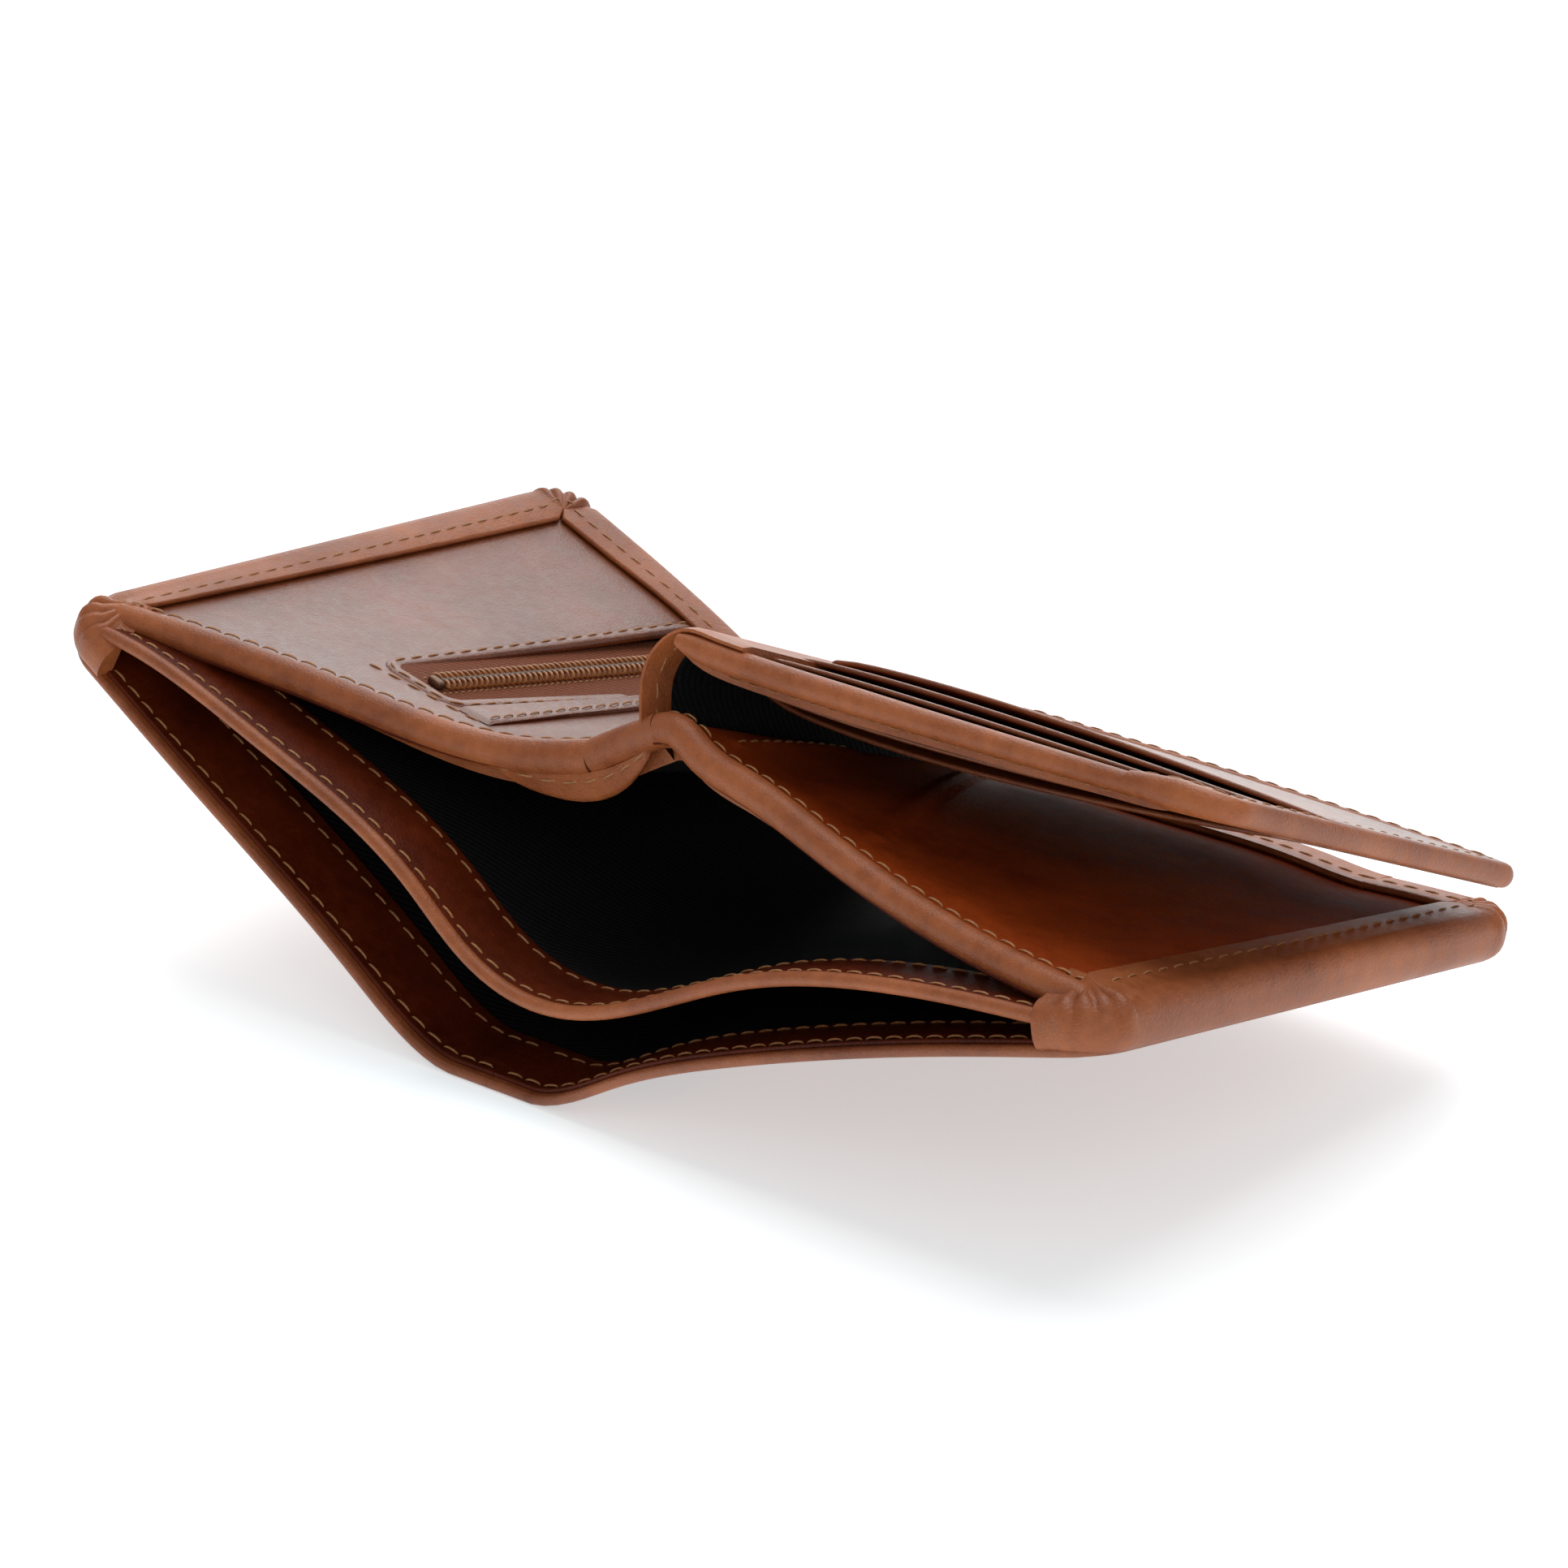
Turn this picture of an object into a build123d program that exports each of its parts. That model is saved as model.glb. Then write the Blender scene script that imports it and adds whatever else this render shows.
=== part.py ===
"""Bifold wallet in leather, lying open on its cover with its note mouth spread.

Frame: +X across the open wallet, +Y from the note mouth to the closed foot edge, +Z up.
The origin is on the flat under the cover's spine band, midway along it. Millimetres.
Profiles are lists of (x, z) that run from the spine outwards.
"""

import os

from build123d import *

# Size of the wallet and of its flat spine band
HEIGHT = 95.0
MOUTH = -HEIGHT / 2
FOOT = HEIGHT / 2
BAND_LEFT = -12.0
BAND_RIGHT = 4.0

# Thickness of each sheet
COVER = 1.2
LINING = 0.4
DIVIDER = 0.8
POCKET_BAG = 0.8
PANEL = 1.1
TURNED = 1.0
TURNED_WALL = 1.2
TURNED_WIDTH = 7.0
TURNED_GAP = 0.95
FACING = 0.4
FACING_WIDTH = 13.0
BINDING = 3.0
BINDING_HEIGHT = 3.6
AIR = 0.05
END_GAP = 0.5
BAND_GAP = 1.0

# Height of each sheet over the cover's outside, where they are all sewn together
LINING_AT = COVER + AIR
DIVIDER_AT = LINING_AT + LINING + AIR
INNER_LINING_AT = DIVIDER_AT + DIVIDER + AIR
BAG_AT = INNER_LINING_AT + LINING + AIR
PANEL_AT = BAG_AT + POCKET_BAG + AIR
TURNED_AT = PANEL_AT + PANEL + TURNED_GAP
EDGE_HEIGHT = TURNED_AT + TURNED

# Outside of the cover at the mouth and at the foot
LEFT_MOUTH = [(BAND_LEFT, 0), (-30, 9.5), (-57, 26.4), (-86, 44.5)]
LEFT_FOOT = [(BAND_LEFT, 0), (-30, 12.5), (-52, 27), (-82.5, 41)]
RIGHT_MOUTH = [(BAND_RIGHT, 0), (18, 6.3), (38, 15), (64, 23.8), (95, 32.5)]
RIGHT_FOOT = [(BAND_RIGHT, 0), (20, 5.5), (40, 10.5), (68, 13.8), (90.5, 14.3)]

# Mouth edge of the divider, which hangs between the cover and the inner panels
DIVIDER_LEFT = [(-4, 13.6), (-19, 24.5), (-46, 37)]
DIVIDER_RIGHT = [(-3.5, 13.6), (18, 16.3), (38, 25.6), (62, 31.0)]

# Mouth edges of the inner panels, and the upright run in plan that each lies in
PANEL_SETBACK = 15.0
LEFT_RUN = ((-2.3, MOUTH + BINDING + PANEL_SETBACK), (-84.5, MOUTH + BINDING))
RIGHT_RUN = ((9.5, MOUTH + BINDING + PANEL_SETBACK), (93.5, MOUTH + BINDING))
PANEL_LEFT = [(-2.3, 40.8), (-13, 39.2), (-44.6, 42.4)]
PANEL_RIGHT = [(9.5, 47.0), (26, 44.6), (42, 41.2), (70, 36.6)]

# Foot edges of the inner panels near the spine, where they bridge it free of the cover
FREE_FOOT_LEFT = [(-12, 17.2)]
FREE_FOOT_RIGHT = [(4, 18.3), (20, 18.6), (40, 18.4)]

# Inner spine: the raised crest that the flap hangs from
CREST = 1.6
CREST_MOUTH = [(-1.8, 41.4), (9.0, 47.6)]
CREST_FOOT = [(-11.0, 16.9), (3.0, 17.4)]
CREST_END = FOOT - 1.0
CREST_FROM = MOUTH + BINDING + PANEL_SETBACK + 1

# Flap: a page of card pockets in a plane of its own, rooted by a rolled strip
FLAP = Plane(origin=(7.9, -24, 59.6), x_dir=(0.9993, 0.0115, -0.0355), z_dir=(0.0235, 0.391, 0.920))
FLAP_ROOT = 9.0
FLAP_WIDTH = 87.0
FLAP_DEPTH = 73.0
FLAP_RADIUS = 4.0
POCKET = 0.85
FLAP_BACKING = 1.2
TOP_POCKET_EDGES = (24.0, 15.0, 6.0)
UNDER_POCKET_EDGES = (5.0, 12.0)
FLAP_BINDING = 1.2
FLAP_BINDING_REACH = 3.5
BINDING_LEG = 0.7
HINGE_STRIP = 1.2
HINGE_STRIP_DROPS = (11.8, 8.6)

# Zip let into the left inner panel, in a plane of its own: X to the spine, Y to the foot
ZIP = Plane(origin=(-41.54, 9.59, 35.01), x_dir=(0.946, -0.052, -0.319), z_dir=(0.323, 0.183, 0.929))
WINDOW_WIDTH = 12.0
WINDOW_LENGTH = 62.0
WINDOW_CUT = 6.0
TAPE = 0.5
TAPE_TOP = -0.9
TAPE_WIDTH = 5.2
TAPE_LENGTH = 60.0
COIL_RADIUS = 0.6
COIL_LENGTH = 55.0
STOP = (2.6, 1.4, 1.0)
SLIDER_AT = 23.0
SLIDER = (4.6, 7.0, 0.9)
SLIDER_LOW = TAPE_TOP + 2 * COIL_RADIUS + 0.15
EAR = (0.8, 2.4, 2.1)
EAR_SPACING = 2.4
PIVOT_RADIUS = 0.5
PIVOT_RISE = 1.2
PULL = (3.4, 8.6, 0.8)
PULL_GAP = 0.5
PULL_EYE = 1.0
PULL_EYE_WIDTH = 1.4
RUNNING = 0.05


def lifted(profile, height):
    """The profile moved to its upper side by height, square to its own run at each point."""
    moved = []
    for i, (x, z) in enumerate(profile):
        before, after = profile[max(i - 1, 0)], profile[min(i + 1, len(profile) - 1)]
        along = Vector(after[0] - before[0], after[1] - before[1]).normalized()
        side = height if along.X > 0 else -height
        moved.append((x - along.Y * side, z + along.X * side))
    return moved


def between(mouth, foot, y):
    """The profile at y of a sheet ruled from its mouth profile to its foot profile."""
    share = (y - MOUTH) / HEIGHT
    return [(a + (c - a) * share, b + (d - b) * share) for (a, b), (c, d) in zip(mouth, foot)]


def inset(profile, at_end, at_start=0.0):
    """The profile made shorter by at_end at its outer end and by at_start at its spine end."""
    points = [Vector(*p) for p in profile]
    points[-1] += (points[-2] - points[-1]).normalized() * at_end
    points[0] += (points[1] - points[0]).normalized() * at_start
    return [(p.X, p.Y) for p in points]


def stack(profile, height):
    """The cover's profile lifted to a sheet's height, ending just inside the turned edge."""
    return inset(lifted(profile, height), END_GAP)


def upright(start, end):
    """An upright plane whose X runs in plan from start towards end."""
    run = Vector(end[0] - start[0], end[1] - start[1], 0).normalized()
    return Plane(origin=(start[0], start[1], 0), x_dir=run, z_dir=run.cross(Vector(0, 0, 1)))


def across(y):
    """The upright plane at y, with its X along the wallet's."""
    return upright((0, y), (1, y))


def on_run(run, profile):
    """A profile of world x and z, measured along an upright run instead of along X."""
    plane = upright(*run)
    return [((x - run[0][0]) / plane.x_dir.X, z) for x, z in profile]


def sheet(near_plane, near, far_plane, far, thickness):
    """A sheet of even thickness, ruled from its near profile to its far one."""
    with BuildPart() as made:
        for plane, profile in ((near_plane, near), (far_plane, far)):
            with BuildSketch(plane):
                with BuildLine():
                    Polyline(*profile, *reversed(lifted(profile, thickness)), close=True)
                make_face()
        loft(ruled=True)
    return made


def layer(mouth, foot, height, thickness, start=MOUTH, end=FOOT):
    """A sheet at one height over the cover, from start to end along the wallet."""
    near = stack(between(mouth, foot, start), height)
    far = stack(between(mouth, foot, end), height)
    return sheet(across(start), near, across(end), far, thickness)


def panel_top(run, mouth, foot, y):
    """The upper side of an inner panel at y, which is ruled from its run to the foot."""
    plane = upright(*run)
    points = []
    for (x_mouth, z_mouth), (x_foot, z_foot) in zip(mouth, foot):
        y_mouth = run[0][1] + (x_mouth - run[0][0]) / plane.x_dir.X * plane.x_dir.Y
        share = (y - y_mouth) / (FOOT - y_mouth)
        points.append((x_mouth + (x_foot - x_mouth) * share, z_mouth + (z_foot - z_mouth) * share))
    return lifted(points, PANEL + 3 * AIR)


def turned_edge(mouth, foot, panel_point):
    """The cover's leather turned over the sewn stack along the leaf's outer edge."""
    with BuildPart() as made:
        for y, profile in ((MOUTH, mouth), (FOOT + TURNED_WALL, foot)):
            outer, inner = Vector(*profile[-1]), Vector(*profile[-2])
            inwards = (inner - outer).normalized()
            up = Vector(-inwards.Y, inwards.X) * (1 if inwards.X > 0 else -1)
            rim = outer + up * TURNED_AT
            target = Vector(*panel_point) if y == MOUTH else inner + up * TURNED_AT
            reach = (target - rim).normalized() * TURNED_WIDTH
            points = [
                outer - inwards * TURNED_WALL,
                outer - inwards * TURNED_WALL + up * EDGE_HEIGHT,
                rim + up * TURNED + reach,
                rim + reach,
                rim,
                outer,
            ]
            with BuildSketch(across(y)):
                with BuildLine():
                    Polyline(*[(p.X, p.Y) for p in points], close=True)
                make_face()
        loft(ruled=True)
    return made


def turned_foot(foot, panel_far, sewn_from, run, panel_mouth):
    """The cover's leather turned up and over the stack along the leaf's sewn foot edge."""
    margin = TURNED_WIDTH + END_GAP
    start = FOOT - TURNED_WIDTH
    near = inset(panel_top(run, panel_mouth, panel_far, start)[sewn_from:], margin)
    far = inset(panel_top(run, panel_mouth, panel_far, FOOT)[sewn_from:], margin)
    wall = inset(foot[sewn_from:], margin)
    strip = sheet(across(start), near, across(FOOT), far, TURNED)
    with BuildPart() as made:
        add(strip.part)
        with BuildSketch(across(FOOT)):
            with BuildLine():
                Polyline(*wall, *reversed(lifted(far, TURNED)), close=True)
            make_face()
        extrude(amount=-TURNED_WALL)
    return made


def page(level, thickness, near_edge):
    """One sheet of the flap, its upper face at level, with rounded outer corners."""
    width, depth = FLAP_WIDTH - FLAP_ROOT, FLAP_DEPTH - near_edge
    with BuildPart() as made:
        with BuildSketch(FLAP.offset(level - thickness)) as shape:
            with Locations((FLAP_ROOT + width / 2, near_edge + depth / 2)):
                Rectangle(width, depth)
            fillet(shape.vertices().sort_by(Axis.X)[-2:], FLAP_RADIUS)
        extrude(amount=thickness)
    return made


def zip_block(x, y, low, size, radius=0.4):
    """A small rounded block on the zip, centred on (x, y), standing on the height low."""
    with BuildPart() as made:
        with BuildSketch(ZIP.offset(low)):
            with Locations((x, y)):
                RectangleRounded(size[0], size[1], radius)
        extrude(amount=size[2])
    return made


nodes = {}

# Cover: two leaves and the flat band between them
nodes["cover_left"] = sheet(across(MOUTH), LEFT_MOUTH, across(FOOT), LEFT_FOOT, COVER)
nodes["cover_right"] = sheet(across(MOUTH), RIGHT_MOUTH, across(FOOT), RIGHT_FOOT, COVER)
band = [(BAND_LEFT + BAND_GAP, 0), (BAND_RIGHT - BAND_GAP, 0)]
nodes["cover_spine"] = sheet(across(MOUTH), band, across(FOOT), band, COVER)

# Sheets of each leaf, and the leather turned over them
for side, mouth, foot, divider, run, panel, free in (
    ("left", LEFT_MOUTH, LEFT_FOOT, DIVIDER_LEFT, LEFT_RUN, PANEL_LEFT, FREE_FOOT_LEFT),
    ("right", RIGHT_MOUTH, RIGHT_FOOT, DIVIDER_RIGHT, RIGHT_RUN, PANEL_RIGHT, FREE_FOOT_RIGHT),
):
    facing_end = MOUTH + FACING_WIDTH
    nodes[f"cover_facing_{side}"] = layer(mouth, foot, LINING_AT, FACING, MOUTH + AIR, facing_end)
    nodes[f"cover_lining_{side}"] = layer(mouth, foot, LINING_AT, LINING, facing_end + AIR, FOOT)

    divider_mouth = divider + stack(mouth, DIVIDER_AT)[-1:]
    nodes[f"divider_{side}"] = sheet(
        across(MOUTH + 1), divider_mouth, across(FOOT), stack(foot, DIVIDER_AT), DIVIDER
    )

    run_plane = upright(*run)
    below_bag = -POCKET_BAG - LINING - 2 * AIR
    lining_mouth = lifted(panel, below_bag) + stack(mouth, INNER_LINING_AT)[-1:]
    bag_mouth = lifted(panel, -POCKET_BAG - AIR) + stack(mouth, BAG_AT)[-1:]
    panel_mouth = panel + stack(mouth, PANEL_AT)[-1:]
    bag_name = "coin_pouch" if side == "left" else "inner_panel_right"
    panel_far = free + stack(foot, PANEL_AT)[len(free):]
    for name, near, far, thickness in (
        (f"inner_lining_{side}", lining_mouth, stack(foot, INNER_LINING_AT), LINING),
        (bag_name, bag_mouth, lifted(panel_far, -POCKET_BAG - AIR), POCKET_BAG),
    ):
        nodes[name] = sheet(run_plane, on_run(run, near), across(FOOT), far, thickness)
    skin = sheet(run_plane, on_run(run, panel_mouth), across(FOOT), panel_far, PANEL)
    nodes["inner_panel_left" if side == "left" else "slip_pocket_right"] = skin

    rim = on_run(run, lifted(panel_mouth, (PANEL - BINDING_HEIGHT) / 2))
    rim = inset(rim, TURNED_WIDTH + END_GAP)
    with BuildPart() as binding:
        with BuildSketch(run_plane):
            with BuildLine():
                Polyline(*rim, *reversed(lifted(rim, BINDING_HEIGHT)), close=True)
            make_face()
        extrude(amount=BINDING if side == "right" else -BINDING)
    nodes[f"mouth_binding_{side}"] = binding

    over_panel = lifted(panel_mouth, PANEL + 3 * AIR)[-2]
    nodes[f"turned_edge_{side}"] = turned_edge(mouth, foot, over_panel)
    nodes[f"turned_foot_{side}"] = turned_foot(foot, panel_far, len(free), run, panel_mouth)

# The zip's window through the left inner panel and into the coin pouch behind it
for name in ("inner_panel_left", "coin_pouch"):
    with BuildPart() as cut:
        add(nodes[name].part)
        with BuildSketch(ZIP):
            Rectangle(WINDOW_WIDTH, WINDOW_LENGTH)
        extrude(amount=WINDOW_CUT, both=True, mode=Mode.SUBTRACT)
    nodes[name] = cut

# Inner spine and the rolled strip that the flap hangs from
crest_run = (CREST_MOUTH[0][0], CREST_FROM), (CREST_MOUTH[1][0], CREST_FROM)
nodes["inner_spine"] = sheet(
    upright(*crest_run), on_run(crest_run, CREST_MOUTH), across(CREST_END), CREST_FOOT, CREST
)
with BuildPart() as hinge_strip:
    for y, drop in zip((0, FLAP_DEPTH), HINGE_STRIP_DROPS):
        section = Plane(FLAP.from_local_coords((0, y, 0)), x_dir=FLAP.x_dir, z_dir=-FLAP.y_dir)
        with BuildSketch(section):
            with BuildLine():
                Polyline(
                    (FLAP_ROOT - AIR, -1.6),
                    (1.2, -1.6),
                    (-1.6, -4.4),
                    (-1.6, -drop),
                    (-1.6 + HINGE_STRIP, -drop),
                    (-1.6 + HINGE_STRIP, -4.9),
                    (1.7, -1.6 - HINGE_STRIP),
                    (FLAP_ROOT - AIR, -1.6 - HINGE_STRIP),
                    close=True,
                )
            make_face()
    loft(ruled=True)
nodes["flap_hinge_strip"] = hinge_strip

# Flap, from its uppermost pocket down
level = 0.0
for i, near_edge in enumerate(TOP_POCKET_EDGES):
    nodes[f"flap_top_pocket_{i + 1}"] = page(level, POCKET, near_edge)
    level -= POCKET + AIR
backing_top = level
nodes["flap_backing"] = page(level, FLAP_BACKING, 0)
level -= FLAP_BACKING + AIR
nodes["flap_lining"] = page(level, LINING, FLAP_BINDING_REACH)
level -= LINING + AIR
for i, near_edge in enumerate(UNDER_POCKET_EDGES):
    nodes[f"flap_under_pocket_{i + 1}"] = page(level, POCKET, near_edge)
    level -= POCKET + AIR

flap_section = Plane(FLAP.from_local_coords((FLAP_ROOT, 0, 0)), x_dir=FLAP.y_dir, z_dir=FLAP.x_dir)
with BuildPart() as binding:
    with BuildSketch(flap_section):
        with BuildLine():
            top, bottom = backing_top + AIR, backing_top - FLAP_BACKING - AIR
            Polyline(
                (FLAP_BINDING_REACH, top),
                (-AIR, top),
                (-AIR, bottom),
                (FLAP_BINDING_REACH - AIR, bottom),
                (FLAP_BINDING_REACH - AIR, bottom - BINDING_LEG),
                (-AIR - FLAP_BINDING, bottom - BINDING_LEG),
                (-AIR - FLAP_BINDING, top + BINDING_LEG),
                (FLAP_BINDING_REACH, top + BINDING_LEG),
                close=True,
            )
        make_face()
    extrude(amount=FLAP_WIDTH - FLAP_ROOT - FLAP_RADIUS)
nodes["flap_binding"] = binding

# Zip: two tapes with their coils, and the stops at both ends of the run
for side, sign in (("outer", -1), ("inner", 1)):
    tape_size = (TAPE_WIDTH, TAPE_LENGTH, TAPE)
    tape_x = sign * (TAPE_WIDTH / 2 + AIR)
    nodes[f"zip_tape_{side}"] = zip_block(tape_x, 0, TAPE_TOP - TAPE, tape_size)
    coil_end = ZIP.from_local_coords((0, -COIL_LENGTH / 2, 0))
    with BuildPart() as coil:
        with BuildSketch(Plane(coil_end, x_dir=ZIP.x_dir, z_dir=ZIP.y_dir)):
            with Locations((sign * (COIL_RADIUS + AIR), -TAPE_TOP - COIL_RADIUS - AIR)):
                Circle(COIL_RADIUS)
        extrude(amount=COIL_LENGTH)
    nodes[f"zip_coil_{side}"] = coil
stop_at = (COIL_LENGTH + STOP[1]) / 2 + AIR
with BuildPart() as stops:
    for y in (-stop_at, stop_at):
        add(zip_block(0, y, TAPE_TOP + AIR, STOP).part)
nodes["zip_stops"] = stops

# Slider: a top plate that rides on the coils, with two ears that hold the pull's pivot
pivot_height = SLIDER_LOW + SLIDER[2] + PIVOT_RISE
plate = zip_block(0, SLIDER_AT, SLIDER_LOW, SLIDER, radius=1.2)
with BuildPart() as slider:
    add(plate.part)
    with BuildSketch(ZIP.offset(SLIDER_LOW + SLIDER[2])):
        with Locations((0, SLIDER_AT)):
            with GridLocations(EAR_SPACING, 0, 2, 1):
                Rectangle(EAR[0], EAR[1])
    extrude(amount=EAR[2])
    pin_end = ZIP.from_local_coords((-EAR_SPACING / 2, SLIDER_AT, pivot_height))
    with BuildSketch(Plane(pin_end, x_dir=ZIP.y_dir, z_dir=ZIP.x_dir)):
        Circle(PIVOT_RADIUS)
    extrude(amount=EAR_SPACING)
nodes["zip_slider"] = slider

# Pull: an eye round the pivot and a tab that lies over the far end of the window
with BuildPart() as pull:
    eye_end = ZIP.from_local_coords((-PULL_EYE_WIDTH / 2, SLIDER_AT, pivot_height))
    with BuildSketch(Plane(eye_end, x_dir=ZIP.y_dir, z_dir=ZIP.x_dir)):
        Circle(PULL_EYE)
        with Locations((SLIDER[1] / 4, 0)):
            Rectangle(SLIDER[1] / 2, PULL[2])
        Circle(PIVOT_RADIUS + RUNNING, mode=Mode.SUBTRACT)
    extrude(amount=PULL_EYE_WIDTH)
    with BuildSketch(ZIP.offset(pivot_height - PULL[2] / 2)):
        with Locations((0, SLIDER_AT + EAR[1] / 2 + PULL[1] / 2 + PULL_GAP)):
            RectangleRounded(PULL[0], PULL[1], 1.2)
    extrude(amount=PULL[2])
nodes["zip_pull"] = pull

os.makedirs("parts", exist_ok=True)
for name, made in nodes.items():
    made.part.label = name
    export_step(made.part, f"parts/{name}.step")
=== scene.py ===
"""Looks of the leather bifold wallet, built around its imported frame.

Lengths are in millimetres in the frame's axes, and mesh() turns them into metres.
"""

import math

import bmesh
import bpy
import numpy as np
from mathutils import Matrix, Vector


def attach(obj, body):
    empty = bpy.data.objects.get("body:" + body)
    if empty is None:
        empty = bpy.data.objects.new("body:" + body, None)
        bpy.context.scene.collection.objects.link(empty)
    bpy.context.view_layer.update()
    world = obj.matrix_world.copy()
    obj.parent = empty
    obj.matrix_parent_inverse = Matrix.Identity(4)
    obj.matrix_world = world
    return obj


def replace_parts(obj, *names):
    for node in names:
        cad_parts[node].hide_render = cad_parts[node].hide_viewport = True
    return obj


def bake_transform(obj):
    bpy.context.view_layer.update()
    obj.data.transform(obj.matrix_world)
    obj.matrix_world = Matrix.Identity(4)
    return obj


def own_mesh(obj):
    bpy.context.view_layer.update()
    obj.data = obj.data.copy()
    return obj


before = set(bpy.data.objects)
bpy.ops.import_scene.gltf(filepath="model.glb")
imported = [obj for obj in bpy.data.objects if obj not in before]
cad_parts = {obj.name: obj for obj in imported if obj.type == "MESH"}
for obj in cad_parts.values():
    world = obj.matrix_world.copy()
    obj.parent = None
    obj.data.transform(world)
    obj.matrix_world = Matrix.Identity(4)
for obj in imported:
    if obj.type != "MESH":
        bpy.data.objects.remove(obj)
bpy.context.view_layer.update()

MM = 0.001
SHARP_ANGLE = math.radians(62)

# Sizes of the wallet, as its frame has them
HEIGHT = 95.0
MOUTH = -HEIGHT / 2
FOOT = HEIGHT / 2
COVER = 1.2
STACK = 6.9
TURNED_WIDTH = 7.0
TURNED = 1.0
FACING_WIDTH = 13.0
LAP = 1.5
DIVIDER_AT = 2.1
PANEL_AT = 4.4
PANEL = 1.1
CORNER = 6.5

# Outside of the cover from the middle of its spine band to each outer edge, as (x, z)
COVER_PROFILES = {
    "left": (
        [(-4, 0), (-12, 0), (-30, 9.5), (-57, 26.4), (-86, 44.5)],
        [(-4, 0), (-12, 0), (-30, 12.5), (-52, 27), (-82.5, 41)],
    ),
    "right": (
        [(-4, 0), (4, 0), (18, 6.3), (38, 15), (64, 23.8), (95, 32.5)],
        [(-4, 0), (4, 0), (20, 5.5), (40, 10.5), (68, 13.8), (90.5, 14.3)],
    ),
}

# Mouth edges of the sheets that hang between the leaves, as (x, z)
DIVIDER_MOUTH = [(-87, 47.4), (-70, 45.2), (-46, 37.4), (-19, 24.9), (-9, 17.2), (0, 13.9)]
DIVIDER_MOUTH += [(9.7, 14.2), (18, 16.8), (38, 26), (62, 32.2), (94.5, 35.0)]
DIVIDER_CUTS = (-13.0, 5.0)
PANEL_MOUTHS = {
    "left": [(-2.3, 41.6), (-13, 39.9), (-44.6, 43.2), (-83.6, 48.2)],
    "right": [(9.5, 48.2), (13.6, 49.0), (17.6, 47.2), (26, 45.4), (42, 41.9), (70, 37.3), (93.5, 36.7)],
}
CREST_MOUTH = [(-2.3, 41.6), (3.5, 45.0), (9.5, 48.2)]

# Foot edges: points free of the cover as (x, z), and where on the leaf the sewn part starts
PANEL_FOOT = FOOT - 0.6
FREE_FOOT = {
    "left": ([(-12, 17.6)], 30.0),
    "right": ([(4, 18.9), (20, 19.6), (40, 19.9), (60, 19.6)], 79.0),
}
CREST_FOOT = [(-12.0, 17.6), (-4.0, 17.9), (4.0, 18.9)]

# The panels' mouth edges run from y at the crest to y at the outer corners, between these x
RUN_SETBACK = 15.0
RUN_START = MOUTH + 2.2
PANEL_RUNS = {"left": (-2.3, -84.5), "right": (9.5, 93.5)}

# Planes of the flap and of the zip: origin, X and normal
FLAP_PLANE = ((7.93, -23.5, 60.8), (0.9993, 0.0115, -0.0355), (0.0235, 0.391, 0.920))
FLAP_ROOT = 9.0
FLAP_WIDTH = 87.0
FLAP_DEPTH = 73.0
POCKET_EDGES = (24.0, 15.0, 6.0)
UNDER_EDGES = (5.0, 12.0)
ZIP_PLANE = ((-41.54, 9.59, 35.01), (0.946, -0.052, -0.319), (0.323, 0.183, 0.929))
WINDOW = (12.0, 62.0)
SLIDER_AT = 23.0
PIVOT_HEIGHT = 2.55

# Seams, and how deep and wide the leather sinks along them
STITCH_PITCH = 3.2
STITCH = 2.5
THREAD = 0.2
FINE_THREAD = 0.17
SLANT = 0.10
GROOVE = (0.16, 0.7)

# Meshes: spacing of their points, welding distances in metres and the angles round a sheet's corner
LEAF_STEP = 2.5
PANEL_STEP = 2.2
FLAT_STEP = 3.0
FINE_STEP = 0.7
WELD = 2e-6
SLIVER = 1e-7
QUARTER = math.pi / 2
CORNER_ANGLES = np.linspace(0, 1.5, 9)


# ---------------------------------------------------------------- curves and surfaces

class Curve:
    """A smooth curve through points, called with the share of its length."""

    def __init__(self, points):
        p = np.array(points, float)
        s = np.concatenate([[0], np.cumsum(np.linalg.norm(np.diff(p, axis=0), axis=1))])
        h = np.diff(s)
        n = len(p)
        a, b = np.eye(n), np.zeros_like(p)
        for i in range(1, n - 1):
            a[i, i - 1:i + 2] = h[i - 1], 2 * (h[i - 1] + h[i]), h[i]
            b[i] = 6 * ((p[i + 1] - p[i]) / h[i] - (p[i] - p[i - 1]) / h[i - 1])
        self.points, self.knots, self.steps, self.bends = p, s, h, np.linalg.solve(a, b)
        self.length = s[-1]

    def __call__(self, share):
        x = np.asarray(share, float) * self.length
        inside = np.clip(x, 0, self.length)
        i = np.clip(np.searchsorted(self.knots, inside, side="right") - 1, 0, len(self.steps) - 1)
        h, m, p = self.steps[i][..., None], self.bends, self.points
        t = (inside - self.knots[i])[..., None] / h
        at = p[i] * (1 - t) + p[i + 1] * t
        at += h * h / 6 * (((1 - t) ** 3 - (1 - t)) * m[i] + (t ** 3 - t) * m[i + 1])
        slope = (p[i + 1] - p[i]) / h
        slope += h / 6 * ((1 - 3 * (1 - t) ** 2) * m[i] + (3 * t ** 2 - 1) * m[i + 1])
        return at + slope * (x - inside)[..., None]


def normals(grid):
    """Upward unit normals of a grid of points."""
    n = np.cross(np.gradient(grid, axis=0), np.gradient(grid, axis=1))
    n /= np.linalg.norm(n, axis=-1, keepdims=True) + 1e-12
    return n * np.where(np.mean(n[..., 2]) < 0, -1.0, 1.0)


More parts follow.
